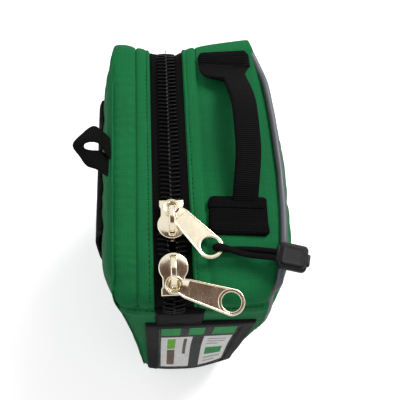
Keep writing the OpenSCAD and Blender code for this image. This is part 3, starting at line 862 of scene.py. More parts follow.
# gusset: the strips and end panels between the two big panels
foldFacts = {"gather": 0.35, "gatherStep": 13, "gatherAt": (4, 3.5), "roll": 0.9, "rollAt": (7, 4.5),
             "groove": 1.2, "grooveWide": 2.2}
stripFacts = {"pull": 0.9, "lastPull": 0.55, "pullReach": 2.2, "taut": 0.8, "tautY": (50, 68),
              "tautZ": (150, 170), "crownPower": 0.6, "wrapWide": 3, "wave": 0.32, "waveSize": 34.0,
              "puckerSize": 6.5, "puckerAt": (2.4, 2.2), "fill": 0.45}


def crossFold(s, x):
    # near cross seam: a groove, a soft roll below it, and short gathers that run into it
    f = foldFacts
    below = nearSeam - s
    turns = 2 * np.pi * x / f["gatherStep"] + 2 * ripple(s, x, 40, 17)
    gather = np.sin(turns) * hump(np.abs(below), *f["gatherAt"])
    roll = f["roll"] * hump(below, *f["rollAt"])
    return f["gather"] * gather + roll - f["groove"] * hump(below, 0, f["grooveWide"])


def softStrip(seed, edges, crown, pucker):
    # crowned strip drawn down towards both seams, with soft waves, small puckers along the seams, and an
    # edge that wraps round the near corner to the front panel
    f = stripFacts

    def lift(s, x, v):
        y, z, outY, _ = onRun(s)
        a = edges[0](y, z)
        b = edges[1](y, z)
        taut = 1 - f["taut"] * smooth(y, *f["tautY"]) * smooth(z, *f["tautZ"])
        drawn = f["pull"] * hump(x - a, 0, f["pullReach"]) + f["lastPull"] * hump(b - x, 0, f["pullReach"])
        wrapped = wrapDepth * nearFace(outY) * smooth(x, b - f["wrapWide"], b) ** 2 * (b > 0)
        wave = f["wave"] * ripple(s, x, f["waveSize"], seed) * crowned(v) ** 0.5
        tucks = np.sin(2 * np.pi * s / f["puckerSize"] + 2.5 * ripple(s, x, 30, seed + 9))
        tucks = pucker * tucks * hump(np.minimum(x - a, b - x), *f["puckerAt"]) * taut
        return crown * crowned(v) ** f["crownPower"] - drawn * taut + crossFold(s, x) - wrapped + wave + tucks

    return lift


def addGusset():
    both = (panelEdge(-1), panelEdge(1))
    left = (panelEdge(-1), fixedEdge(hingeLeft))
    right = (fixedEdge(hingeRight), panelEdge(1))
    for name, node, first, last, edges, crown, pucker, seed, columns in (
            ("topLeftStrip", "top_left_panel", nearSeam, farSeam, left, 0.5, 0.2, 3, 44),
            ("topRightStrip", "top_right_panel", nearSeam, farSeam, right, 0.2, 0.08, 5, 44),
            ("nearEndPanel", "near_end_panel", 0.0, nearSeam, both, -0.3, 0.28, 7, 60),
            ("farEndPanel", "far_end_panel", farSeam, baseFar, both, 1.2, 0.28, 8, 60),
            ("basePanel", "base_panel", baseFar, runTotal, both, 0.0, 0.0, 9, 60)):
        lift = softStrip(seed, edges, crown, pucker)
        piece = gussetPatch(name, first, last, edges, lift, bag["wall"], greenCloth, 220, columns)
        together(piece, "bag", "green_cloth", node)


addGusset()

# front and back panels: domes with waves, then a short cloth simulation
panelFacts = {"count": 111, "cornerIn": 4.7, "cornerShare": 0.29, "nearTopUp": 7.8, "centre": 0.62,
              "rimEase": 0.14, "span": 165, "tug": 0.3, "tugStep": 11, "tugAt": (7, 7), "tugFade": 0.8,
              "tugTop": (120, 165), "wave": 0.9, "waveSize": 52, "waveIn": (6, 40), "waveEdge": (0, 5),
              "edgeRound": 1.8, "edgeOut": 0.4, "sunk": 3.4, "hug": 0.8, "hugTurn": (52, 80),
              "innerArch": 0.98, "innerWave": 0.6, "innerIn": 0.2, "fill": 0.6}
clothFacts = {"spare": 0.012, "mass": 0.3, "pressure": 6.0, "gravity": 0.05, "frames": 20, "stride": 2,
              "rim": 2}


def panelGrid(wrap):
    # side-view grid of a panel: four edge curves of the outline blended across, as the sum of both rulings
    # less the blend of the corners
    f = panelFacts
    t = np.linspace(0, 1, f["count"])
    inset = f["cornerIn"]
    nearBottom = runPlace(nearEnd + f["cornerShare"] * bag["baseRadius"], inset)
    nearTop = runPlace(nearEnd + f["cornerShare"] * bag["nearRadius"], nearArcZ + f["nearTopUp"])
    farTop = runPlace(farEnd - inset, bag["height"] - inset)
    farBottom = runPlace(farEnd - inset, inset)
    nearBottom -= runTotal if nearBottom > runTotal / 2 else 0

    def part(a, b):
        y, z, outY, outZ = onRun(a + (b - a) * t)
        inward = wrap * nearFace(outY)
        return np.stack([y - outY * inward, z - outZ * inward], -1)

    near = part(nearBottom, nearTop)
    top = part(nearTop, farTop)
    far = part(farBottom, farTop)
    bottom = part(nearBottom + runTotal, farBottom)
    u = t[:, None, None]
    w = t[None, :, None]
    grid = (1 - w) * bottom[:, None] + w * top[:, None] + (1 - u) * near[None] + u * far[None]
    nearCorners = (1 - w) * near[0] + w * near[-1]
    farCorners = (1 - w) * far[0] + w * far[-1]
    return grid - ((1 - u) * nearCorners + u * farCorners), t


def simulated(name, grid, side):
    # the grid as a cloth held at its rim, with a little spare length, blown out and sagging for some frames
    f = clothFacts
    rows, columns = grid.shape[:2]
    quads, _ = gridQuads(rows, columns)
    mesh = bpy.data.meshes.new(name)
    mesh.from_pydata((grid.reshape(-1, 3) * mm).tolist(), [],
                     (quads if side > 0 else quads[:, ::-1]).tolist())
    trial = bpy.data.objects.new(name, mesh)
    scene.collection.objects.link(trial)
    rim = np.ones((rows, columns), bool)
    rim[f["rim"]:-f["rim"], f["rim"]:-f["rim"]] = False
    trial.vertex_groups.new(name="held").add(np.nonzero(rim.ravel())[0].tolist(), 1.0, "REPLACE")
    cloth = trial.modifiers.new("cloth", "CLOTH")
    cloth.settings.vertex_group_mass = "held"
    cloth.settings.mass = f["mass"]
    cloth.settings.use_pressure = True
    cloth.settings.uniform_pressure_force = f["pressure"]
    cloth.settings.shrink_min = -f["spare"]
    cloth.settings.effector_weights.gravity = f["gravity"]
    cloth.point_cache.frame_start = 1
    cloth.point_cache.frame_end = f["frames"]
    for frameNumber in range(1, f["frames"] + 1):
        scene.frame_set(frameNumber)
    found = np.empty(rows * columns * 3)
    trial.evaluated_get(bpy.context.evaluated_depsgraph_get()).data.vertices.foreach_get("co", found)
    scene.frame_set(1)
    bpy.data.objects.remove(trial)
    return found.reshape(grid.shape) / mm


def billow(name, grid, side, cap):
    # every second point of the panel's skin is simulated; each point's move is eased off towards a cap, and
    # spread back over the full grid along rows, then columns
    step = clothFacts["stride"]
    coarse = grid[::step, ::step]
    move = simulated(name, coarse, side) - coarse
    size = np.maximum(np.linalg.norm(move, axis=-1, keepdims=True), 1e-6)
    move = move * cap * np.tanh(size / cap) / size
    fine = np.arange(len(grid))
    for _ in ("rows", "columns"):
        filled = [[np.interp(fine, fine[::step], line) for line in move[..., k].T] for k in range(3)]
        move = np.stack(filled, -1)
    return grid + move


def addDomedPanel(name, side, node, bulge, seed, cap):
    # bulge = product of two half-circle arches about a point above the middle, eased to nothing at the
    # seam; small tugs run in from the seam, broad waves lie over the middle, and the near end hugs the seam
    f = panelFacts
    grid, t = panelGrid(wrapDepth if side > 0 else 0.0)
    y, z = grid[..., 0], grid[..., 1]
    centre = f["centre"] * bag["height"]
    a = np.clip(2 * y / bag["length"], -1, 1)
    b = np.clip((z - centre) / np.where(z > centre, bag["height"] - centre, centre), -1, 1)
    rim = np.minimum(np.minimum(t, 1 - t)[:, None], np.minimum(t, 1 - t)[None])
    full = 1 - (1 - np.clip(rim / f["rimEase"], 0, 1)) ** 3
    arch = bulge * np.sqrt((1 - a * a) * (1 - b * b)) * full
    away = rim * f["span"]
    tug = f["tug"] * np.sin(2 * np.pi * (y + z) / f["tugStep"] + 3 * ripple(y, z, 45, seed))
    tug = tug * hump(away, *f["tugAt"]) * (1 - f["tugFade"] * smooth(z, *f["tugTop"]))
    waves = f["wave"] * ripple(y, z, f["waveSize"], seed + 1) * smooth(away, *f["waveIn"]) + tug
    edge = bag["wall"] * (1 - hump(away, 0, f["edgeRound"])) + f["edgeOut"]
    base = np.abs(seamX(side, y, z)) - (f["sunk"] * cornerSink(y, z) if side > 0 else 0)
    hug = 1 - f["hug"] * smooth(-y, *f["hugTurn"])
    outX = base + hug * (edge + arch + waves * smooth(away, *f["waveEdge"]))
    inX = base + hug * (arch * f["innerArch"] + waves * f["innerWave"]) - f["innerIn"]
    outer = billow(name + "Cloth", settle(np.stack([side * outX, y, z], -1)), side, cap)
    inner = settle(np.stack([side * inX, y, z], -1))
    piece = shellPiece(name, outer, inner, np.stack([y, z], -1), greenCloth)
    together(piece, "bag", "green_cloth", node)
    return outer


addDomedPanel("frontPanel", 1, "front_panel", bag["frontBulge"], 21, 3.5)
backSkin = addDomedPanel("backPanel", -1, "back_panel", bag["backBulge"], 31, 0.9)

# seam rolls: reflective piping on the front from base corner to base corner, a plain cloth welt on the back
rollFacts = {"points": 420, "sides": 14, "wobble": 0.12, "sunkIn": 3.3, "sunkAside": 2.7, "wrapAside": 2.1,
             "tuck": 5, "tuckAside": 2.8, "tuckIn": 1.0}
pipingFacts = {"side": 1, "radius": 1.9, "lift": 0.8, "aside": 1.2, "wrapIn": wrapDepth + 0.2, "ends": 2.0}
weltFacts = {"side": -1, "radius": 0.55, "lift": -0.2, "aside": 0.3, "wrapIn": 1.2}


def addSeamRoll(name, facts, first, last, material, tuckedEnds, slot, *nodes):
    # the roll sinks between the cloths at the far top corner, and runs behind the near end's wrapped edge
    f = rollFacts
    side, radius = facts["side"], facts["radius"]
    s = np.linspace(first, last, f["points"])
    y, z, outY, outZ = onRun(s)
    sunk = cornerSink(y, z)
    wrapped = nearFace(outY)
    tucked = hump(np.minimum(s - first, last - s), 0, f["tuck"]) * tuckedEnds
    wobble = f["wobble"] * ripple(s, 0 * s, 17, 41)
    aside = facts["aside"] + wobble - f["sunkAside"] * sunk - f["wrapAside"] * wrapped
    aside = aside - f["tuckAside"] * tucked
    rise = facts["lift"] - f["sunkIn"] * sunk - facts["wrapIn"] * wrapped - f["tuckIn"] * tucked
    level = np.maximum(z + outZ * rise, radius)
    path = settle(levelLine(seamX(side, y, z) + side * aside, y + outY * rise, level))
    piece = sweepPiece(name, roundBar(radius, f["sides"]), path, *frames(path, sideways), material)
    together(piece, "bag", slot, *nodes)


addSeamRoll("frontPiping", pipingFacts, pipingFacts["ends"], baseFar - pipingFacts["ends"], reflectiveTape,
            True, "reflective_cloth", "front_piping")
addSeamRoll("backWelt", weltFacts, 0.0, runTotal, greenCloth, False, "green_cloth")
print("shell made")

# zip: facings, tapes and coils; each side is cut in two at mid-length; the lip turns listed below are not
# applied
lipTurn = {"near": ((0, -0.052, 0.178), (0, -0.012, 0.178)), "far": ((0, 0.046, 0.178), (0, 0.002, 0.178))}
facingFacts = {"level": 0.15, "tuck": (1.0, 0.9), "groove": (0.38, 2.1, 0.7), "rolledEdge": (0.9, 0.5),
               "roll": (0.25, 3.2, 2.0), "wave": 0.16, "thick": 1.05, "stitchIn": 2.1, "stitchDown": -0.28}
tapeFacts = {"down": 1.3, "wave": 0.04, "thick": 0.7, "under": 0.6, "clear": 0.35, "ridgeIn": 1.2,
             "ridgeDown": -1.25}
# the highlight entries place the pale beads that paint the glint on the coil heads
coilFacts = {"stepsPerTurn": 16, "level": 0.1, "high": 0.95, "flatten": 3.2, "outerDrop": 0.5,
             "headSwell": 0.3, "headPower": 6, "highlightAside": 0.12, "highlightUp": 1.05, "highlightLong": 0.8,
             "highlightRadius": 0.26, "highlightLift": 0.3}
partFacts = {"wide": 2.1, "starts": (-61, -53), "ends": (-43, -35)}


def turnsWithLip(piece, side, half, slot, kind=None):
    nodes = [f"{word}_zip_{kind}" for word in (side, half)] if kind else []
    blended(piece, side + "_lip", *lipTurn[half], slot, *nodes)


def spread(y):
    # the two sides part between the sliders
    return partFacts["wide"] * smooth(y, *partFacts["starts"]) * (1 - smooth(y, *partFacts["ends"]))


def facingLift(x, edge, hinge):
    # across a facing: tucked at its seam, a soft roll, a stitch groove, and a rolled edge at the zip
    f = facingFacts
    fromHinge = np.abs(x - hinge)
    fromEdge = np.abs(x - edge)
    tuck, tuckWide = f["tuck"]
    rolled, rolledWide = f["rolledEdge"]
    groove, grooveAt, grooveWide = f["groove"]
    roll, rollAt, rollWide = f["roll"]
    lowered = tuck * hump(fromHinge, 0, tuckWide) + rolled * hump(fromEdge, 0, rolledWide)
    lowered = lowered + groove * hump(fromEdge, grooveAt, grooveWide)
    return f["level"] - lowered + roll * hump(fromHinge, rollAt, rollWide)


def addFacing(name, side, sign, half, first, last, edge, hinge):
    # strip by facingLift, with waves that fade to its edges, sewn along the zip
    f = facingFacts

    def lift(s, x, v):
        wave = f["wave"] * ripple(s, x, 15, 51 + sign) * crowned(v)
        return facingLift(x, edge, hinge) + crossFold(s, x) + wave

    edges = [fixedEdge(hinge), fixedEdge(edge)][::sign]
    piece = gussetPatch(name + "Facing", first, last, edges, lift, f["thick"], greenCloth)
    turnsWithLip(piece, side, half, "green_cloth", "facing")
    s = np.linspace(first, last, 260)
    path, out = onTop(s, edge + sign * f["stitchIn"] + 0.1 * ripple(s, 0 * s, 23, 61), f["stitchDown"])
    turnsWithLip(stitchRow(name + "EdgeStitch", path, out, greenThread), side, half, "green_cloth")


def addTape(name, side, sign, half, first, last, edge, hinge):
    # strip from under the facing to the coil, at one depth with fine waves, and a ridge of thread
    f = tapeFacts
    tail = zipper["tail"] if half == "near" else 0.0

    def inner(y, z):
        return zipper["x"] + sign * (f["clear"] + spread(y))

    def lift(s, x, v):
        return f["wave"] * ripple(s, x, 12, 71) - f["down"]

    edges = [fixedEdge(hinge - sign * f["under"]), inner][::sign]
    piece = gussetPatch(name + "Tape", first - tail, last, edges, lift, f["thick"], zipTape, columns=24)
    turnsWithLip(piece, side, half, "black_webbing", "tape")
    path, out = onTop(np.linspace(first, last, 260), edge - sign * f["ridgeIn"], f["ridgeDown"])
    ridge = stitchRow(name + "TapeRidge", path, out, blackThread, length=1.4, gap=0.5, radius=0.2)
    turnsWithLip(ridge, side, half, "black_webbing")


def addCoil(name, side, sign, half, first, last):
    # wire wound in a flattened oval whose inner turns reach the centre line, with pressed heads, one to a
    # turn, that meet along the middle, each topped by a pale bead that is a painted highlight; the right side
    # winds half a turn behind the left
    f = coilFacts
    pitch = zipper["pitch"]
    tail = zipper["tail"] if half == "near" else 0.0
    s = np.arange(first - tail, last, pitch / f["stepsPerTurn"])
    a = 2 * np.pi * s / pitch + (np.pi if sign > 0 else 0)
    y, z, outY, outZ = onRun(s)
    middleX = (zipper["outer"] + zipper["inner"]) / 2
    reach = (zipper["outer"] - zipper["inner"]) / 2
    x = zipper["x"] + sign * (middleX + spread(y) - reach * np.cos(a))
    outwards = (1 - np.cos(a)) / 2
    h = f["level"] + f["high"] * np.tanh(f["flatten"] * np.sin(a)) * (1 - f["outerDrop"] * outwards**2)
    swell = 1 + f["headSwell"] * np.maximum(np.cos(a), 0) ** f["headPower"]
    path = np.stack([x, y + outY * h, z + outZ * h], -1)
    turns = frames(path, np.stack([0 * y, outZ, -outY], -1))
    wire = roundBar(zipper["wire"], 6)
    piece = sweepPiece(name + "Coil", wire, path, *turns, coilNylon, swell, swell, crease=80)
    turnsWithLip(piece, side, half, "black_plastic", "coil")
    # a pale bead on each head, one to a turn: a painted highlight
    s = np.arange(first + (pitch / 4 if sign > 0 else 0), last, pitch / 4)
    path, out = onTop(s, zipper["x"] + sign * (f["highlightAside"] + spread(onRun(s)[0])), f["highlightUp"])
    highlightBeads = stitchRow(name + "CoilHeadHighlights", path, out, coilHeadHighlight, f["highlightLong"], pitch - f["highlightLong"],
                      f["highlightRadius"], f["highlightLift"])
    turnsWithLip(highlightBeads, side, half, "black_plastic")


def addZip():
    for side, sign, hinge in (("left", -1, hingeLeft), ("right", 1, hingeRight)):
        edge = zipper["x"] + sign * zipper["gap"] / 2
        for half, first, last in (("near", nearSeam, zipMiddle), ("far", zipMiddle, farSeam)):
            name = side + half.capitalize()
            addFacing(name, side, sign, half, first, last, edge, hinge)
            addTape(name, side, sign, half, first, last, edge, hinge)
            addCoil(name, side, sign, half, first, last)


addZip()

# black cloth over each zip end: a strip of the gusset raised by a flat-topped pad, sewn across in three rows
patchFacts = {"down": 0.4, "high": 2.2, "edge": 0.9, "edgePower": 1.5, "groove": 0.35, "grooveAt": (4.5, 0.8),
              "wave": 0.15, "thick": 0.8, "grid": 60, "stitchIn": 1.5, "stitchUp": 1.75,
              "firstRows": (2.0, 4.5), "lastRow": 2.0}
# each patch: its node, how far it reaches left and right of the zip, and where it starts and ends
zipPatches = {"nearZipPatch": ("near_zip_patch", 10, 16, runPlace(nearEnd, 141.5), nearSeam + 0.6),
              "farZipPatch": ("far_zip_patch", 13, 13, farSeam + 3, farSeam + 18)}


def addZipPatch(name, node, leftward, rightward, first, last):
    # pad = height times 1 - exp(-(distance from the rim / edge) to a power), less a shallow groove
    f = patchFacts
    left = zipper["x"] - leftward
    right = zipper["x"] + rightward

    def lift(s, x, v):
        rim = np.minimum(np.minimum(x - left, right - x), np.minimum(s - first, last - s))
        pad = f["high"] * (1 - np.exp(-((rim / f["edge"]) ** f["edgePower"])))
        groove = f["groove"] * hump(s - first, *f["grooveAt"])
        return pad - f["down"] - groove + f["wave"] * ripple(s, x, 9, 77)

    edges = (fixedEdge(left), fixedEdge(right))
    piece = gussetPatch(name, first, last, edges, lift, f["thick"], patchTape, f["grid"], f["grid"])
    together(piece, "bag", "black_webbing", node)
    x = np.linspace(left + f["stitchIn"], right - f["stitchIn"], 30)
    rows = [first + reach for reach in f["firstRows"]] + [last - f["lastRow"]]
    for k, at in enumerate(rows):
        line, out = crossLine(at, x, f["stitchUp"])
        together(stitchRow(f"{name}Stitch{k}", line, out, paleThread), "bag", "black_webbing")


for patchName, patchPlace in zipPatches.items():
    addZipPatch(patchName, *patchPlace)
print("zip made")

# sliders: plates with a round nose and a wider tail, flanges that grip the coil, a post and a bridge
sliderFacts = {"noseY": 3.2, "tailY": 10.6, "neckIn": 0.75, "neck": (-4, -1), "tailOut": 0.7,
               "tailAt": (6.2, 7.2), "bevel": 0.55, "flangeThick": 0.95, "flangeIn": 0.5,
               "flangeFrom": -8.5, "flangeTo": 9.4, "postY": -5.9, "archY": -0.6, "archHalf": 7.4,
               "archHigh": 5.2, "archUp": 1.25, "plateZ": 5.0, "bar": (3.0, 1.6, 0.6),
               "barEnd": 7.5, "barDown": 0.4, "footY": 7.3, "foot": (3.6, 3.2, 0.9), "post": (2.4, 4.6, 0.8),
               "flangeCorner": 0.35}
sliderPlates = {"SliderTop": {"round": 7.4, "tail": 12.6, "low": 3.4, "high": 5.0},
                "SliderBottom": {"round": 6.5, "tail": 11.4, "low": -3.2, "high": -1.6}}
sliderFlanges = {"UpperFlange": {"round": 7.4, "tail": 12.6, "low": 1.15, "high": 3.6},
                 "LowerFlange": {"round": 6.5, "tail": 11.4, "low": -1.8, "high": -1.0}}
# outlines of a plate's lower edge and of its crown, as (inset, height)
plateFoot = ((0.4, 0.0), (0.1, 0.15), (0.0, 0.45))
plateCrown = ((1.4, 0.22), (3.0, 0.36))
# outlines of the post and of a foot, as (height, inset)
postOutlines = ((-2.0, 0), (1.0, 0.1), (4.2, 0))
footOutlines = ((-0.2, 0), (0.35, 0.0), (0.7, 0.25), (0.85, 0.6))


def bothSides(line, mirror):
    # a line and its mirror image, joined into one outline
    return np.concatenate([line, (line * mirror)[::-1][1:-1]])


def sliderOutline(plate, inset):
    # half width along the slider: round nose, straight neck, wider tail
    f = sliderFacts
    radius = plate["round"] - inset
    y = -f["noseY"] - radius + (f["tailY"] - inset + f["noseY"] + radius) * eased(40)
    nose = np.sqrt(np.maximum(radius**2 - (y + f["noseY"]) ** 2, 0))
    neck = (plate["tail"] / 2 - f["neckIn"] - inset) * smooth(y, *f["neck"])
    tail = neck + f["tailOut"] * smooth(y, *f["tailAt"])
    return bothSides(np.stack([np.maximum(nose, tail), y], -1), [-1, 1])


def placed(points, near):
    # slider coordinates to the bag: the near slider is turned end for end and tilted with the slope
    points = np.asarray(points, float)
    if not near:
        return points + farSlider
    x, y, z = -points[..., 0], -points[..., 1], points[..., 2]
    tiltedY = y * math.cos(lean) - z * math.sin(lean)
    tiltedZ = y * math.sin(lean) + z * math.cos(lean)
    return np.stack([x, tiltedY, tiltedZ], -1) + nearSlider


def addSliderPlates(prefix, near):
    # outlines stacked upwards, with a quarter-circle bevel and a slight crown
    edge = sliderFacts["bevel"]
    for label, plate in sliderPlates.items():
        low, high = plate["low"], plate["high"]
        steps = [(inset, low + z) for inset, z in plateFoot]
        steps += [(edge * (1 - np.cos(a)), high - edge + edge * np.sin(a)) for a in quarter(5)]
        steps += [(edge + inset, high + z) for inset, z in plateCrown]
        rings = [placed(atHeight(sliderOutline(plate, inset), z), near) for inset, z in steps]
        nodes = [prefix + "_slider_body"] if label == "SliderTop" else []
        together(stackPiece(prefix + label, rings, nickel), prefix + "_slider", "nickel", *nodes)


def addSliderFlanges(prefix, near):
    # side flanges follow the nose and neck
    f = sliderFacts
    up = placed(upward, near) - placed(np.zeros(3), near)
    for sign, word in ((-1, "Left"), (1, "Right")):
        for label, flange in sliderFlanges.items():
            o = sliderOutline(flange, f["flangeIn"])
            o = o[(o[:, 0] > 0) & (o[:, 1] > f["flangeFrom"]) & (o[:, 1] < f["flangeTo"])] * [sign, 1]
            path = placed(evenly(atHeight(o, (flange["low"] + flange["high"]) / 2), 0.8), near)
            bar = roundedBox(flange["high"] - flange["low"], f["flangeThick"], f["flangeCorner"])
            piece = sweepPiece(prefix + label + word, bar, path, *frames(path, up), nickel)
            together(piece, prefix + "_slider", "nickel")


def addSliderBridge(prefix, near):
    # flat bar bent in a half oval over the top plate, on two feet
    f = sliderFacts
    a = np.radians(np.linspace(0, 180, 41))
    bend = levelLine(0.0, f["archY"] + f["archHalf"] * np.cos(a),
                     f["plateZ"] + f["archUp"] + f["archHigh"] * np.sin(a))
    ends = [[[0, f["archY"] + side * f["barEnd"], f["plateZ"] - f["barDown"]]] for side in (1, -1)]
    path = placed(evenly(np.concatenate([ends[0], bend, ends[1]]), 0.5), near)
    piece = sweepPiece(prefix + "SliderBridge", roundedBox(*f["bar"]), path, *frames(path, sideways), nickel)
    together(piece, prefix + "_slider", "nickel", prefix + "_slider_bridge")
    wide, tall, corner = f["foot"]
    for k, footY in enumerate((f["footY"], -f["footY"])):
        rings = []
        for z, inset in footOutlines:
            o = roundedBox(wide - 2 * inset, tall - 2 * inset, corner - inset / 2) + [0, f["archY"] + footY]
            rings.append(placed(atHeight(o, f["plateZ"] + z), near))
        together(stackPiece(f"{prefix}BridgeFoot{k}", rings, nickel), prefix + "_slider", "nickel")


def addSliderPost(prefix, near):
    wide, tall, corner = sliderFacts["post"]
    rings = []
    for z, inset in postOutlines:
        o = roundedBox(wide - inset, tall - inset, corner) + [0, sliderFacts["postY"]]
        rings.append(placed(atHeight(o, z), near))
    together(stackPiece(prefix + "SliderPost", rings, nickel), prefix + "_slider", "nickel")


def addSlider(near):
    prefix = "near" if near else "far"
    addSliderPlates(prefix, near)
    addSliderFlanges(prefix, near)
    addSliderPost(prefix, near)
    addSliderBridge(prefix, near)


# pullers: a flat blade with an eye, a narrow neck and a round end, with raised rims
pullerFacts = {"eye": 4.5, "end": 6.6, "neckFrom": 2.6, "neckTo": 6.4, "halves": (3.6, 4.8, 6.5),
               "eyeHole": 2.9, "endHole": 4.7, "half": 0.5, "bevel": 0.22, "points": 64, "holePoints": 48,
               "rimCorner": 0.42, "neck": (3.0, 6.6), "neckIn": 0.4}
neckOutlines = ((-0.85, 0.35), (-0.7, 0.1), (0.7, 0.1), (0.85, 0.35))


def pullerHalf(x, inset):
    # half width of a puller along its length: eye ring, narrow neck widening to the round end
    f = pullerFacts
    reach = pullFacts["reach"]
    eye = np.sqrt(np.maximum((f["eye"] - inset) ** 2 - x**2, 0))
    blade = np.interp(x, [f["neckFrom"], f["neckTo"], reach], f["halves"]) - inset
    end = np.sqrt(np.maximum((f["end"] - inset) ** 2 - (x - reach) ** 2, 0))
    neck = np.maximum(blade, np.where(x < f["eye"], eye, 0))
    return np.where(x < f["neckFrom"], eye, np.where(x > reach, end, neck))


def pullerOutline(inset):
    # both edges of the blade, drawn in by inset
    f = pullerFacts
    x = inset - f["eye"] + (pullFacts["reach"] + f["end"] + f["eye"] - 2 * inset) * eased(f["points"])
    half = pullerHalf(x, inset)
    half[[0, -1]] = 0
    return bothSides(np.stack([x, half], -1), [1, -1])


def pullerHole(centre, radius):
    a = circle(pullerFacts["holePoints"])
    return lambda d: np.stack([centre - (radius + d) * np.cos(a), (radius + d) * np.sin(a)], -1)


def bladeFaces(outerCount, holeCount):
    # each face is cut along the middle line: half of the outline, then back along half of each hole
    count = outerCount // 2 + 1
    half = holeCount // 2
    faces = []
    for layer in (0, 3):
        o = layer * outerCount
        eye = 4 * outerCount + layer * holeCount
        hole = eye + 4 * holeCount
        upper = [*range(o, o + count)]
        lower = [o, *range(o + outerCount - 1, o + count - 2, -1)]
        for start in (hole, eye):
            upper += [start + k for k in range(half, -1, -1)]
            lower += [start + k % holeCount for k in range(half, holeCount + 1)]
        faces += [np.array([upper]), np.array([lower])]
    return faces


def addPuller(near):
    f = pullerFacts
    prefix = "near" if near else "far"
    body = prefix + "_puller"
    turn = math.radians(pullFacts["nearTurn"] + 180 if near else pullFacts["farTurn"])
    spin = np.array([[math.cos(turn), -math.sin(turn)], [math.sin(turn), math.cos(turn)]])

    def put(flat, z):
        turned = np.asarray(flat) @ spin.T + [0, pullFacts["pivotY"]]
        return placed(atHeight(turned, pullFacts["pivotZ"] + z), near)

    eyeHole = pullerHole(0.0, f["eyeHole"])
    endHole = pullerHole(pullFacts["reach"], f["endHole"])
    half, bevel = f["half"], f["bevel"]
    levels = [(bevel, -half), (0.0, bevel - half), (0.0, half - bevel), (bevel, half)]
    verts, faces, start = [], [], 0
    for make in (pullerOutline, eyeHole, endHole):
        rings = np.stack([put(make(inset), z) for inset, z in levels])
        quads, _ = gridQuads(len(levels), rings.shape[1], wrap=True)
        verts.append(rings.reshape(-1, 3))
        faces.append(quads + start)
        start += rings.shape[0] * rings.shape[1]
    faces += bladeFaces(2 * f["points"] - 2, f["holePoints"])
    blade = addPiece(prefix + "PullerBlade", np.concatenate(verts), faces, [None] * len(faces), nickel,
                     crease=30)
    together(blade, body, "nickel", body)
    # raised rims round the outline, the big hole and the eye
    rims = [("PullerRim", pullerOutline(0.5), 1.0, 1.8), ("PullerHoleRim", endHole(0.9), 1.8, 1.7),
            ("PullerEyeRim", eyeHole(0.8), 1.6, 1.7)]
    for label, line, wide, tall in rims:
        path = put(evenly(closedLine(line), 0.7)[:-1], 0.0)
        t = unit(np.roll(path, -1, 0) - np.roll(path, 1, 0))
        up = np.broadcast_to(unit(put(np.zeros((1, 2)), 1.0) - put(np.zeros((1, 2)), 0.0)), t.shape)
        bar = roundedBox(wide, tall, f["rimCorner"])
        rim = sweepPiece(prefix + label, bar, path, np.cross(t, up), up, nickel, closed=True)
        together(rim, body, "nickel")
    # solid neck between the eye and the recessed blade
    x = np.linspace(*f["neck"], 9)
    rings = []
    for z, inset in neckOutlines:
        side = pullerHalf(x, f["neckIn"] + inset)
        rings.append(put(np.concatenate([np.stack([x, side], -1), np.stack([x, -side], -1)[::-1]]), z))
    together(stackPiece(prefix + "PullerNeck", rings, nickel), body, "nickel")


for isNear in (False, True):
    addSlider(isNear)
    addPuller(isNear)
print("sliders made")

# handle: webbing strap folded lengthways, sewn down at both ends
handleFacts = {"x": 25.8, "anchorX": 21.8, "strapWide": 13.4, "strapThick": 3.4, "flatThick": 1.7,
               "anchorWide": 30.5, "leanOut": 2.4, "leanFrom": (-30, 0), "leanTo": (22, 52),
               "widens": (46, 59), "flattens": (-31, -25), "cut": 14, "turnX": 0.0258, "turnZ": 0.186,
               "sewnIn": 13.4, "edge": 1.7, "corner": 2.4, "crown": 0.3}
# strap line as (along, height)
strapLine = [[-40, 181.0], [-34, 181.2], [-29, 182.0], [-25, 184.2], [-19, 188.4], [-8, 193.0], [4, 195.6],
             [14, 196.4], [26, 195.4], [38, 192.2], [46, 188.4], [52, 185.2], [57, 183.0], [61, 182.0],
             [66, 181.4]]
# section in half widths and thicknesses: a fold on one edge, two lips with a groove on the other
strapSection = [[-1, 0], [-0.985, 0.22], [-0.93, 0.4], [-0.84, 0.49], [-0.5, 0.5], [0, 0.5], [0.5, 0.5],
                [0.9, 0.5], [0.98, 0.42], [1, 0.28], [0.985, 0.12], [0.86, 0.03], [0.86, -0.03],
                [0.985, -0.12], [1, -0.28], [0.98, -0.42], [0.9, -0.5], [0.5, -0.5], [0, -0.5],
                [-0.5, -0.5], [-0.84, -0.46], [-0.93, -0.38], [-0.985, -0.22]]
# sewn anchors: middle along the bag, length, thickness, turn in degrees, stitch rows as shares of length
anchors = {"nearAnchorPad": (-35.4, 21.6, 2.6, -3.0, (-0.3,)),
           "nearAnchorFold": (-28.6, 7.4, 3.4, -3.0, (-0.3,)),
           "nearAnchorHem": (-42.8, 6.2, 3.1, -4.0, (-0.32, 0.26)),
           "farAnchorHem": (64.0, 8.4, 3.4, -0.5, (-0.32, 0.26))}


def wornPad(p):
    # settled with the bag, with edges a little out of true
    x, y, z = p.T
    wander = [0.55 * ripple(y, z, 15, 33), 0.5 * ripple(x, z, 17, 35), 0.15 * ripple(x, y, 9, 37)]
    return settle(p) + np.stack(wander, -1)


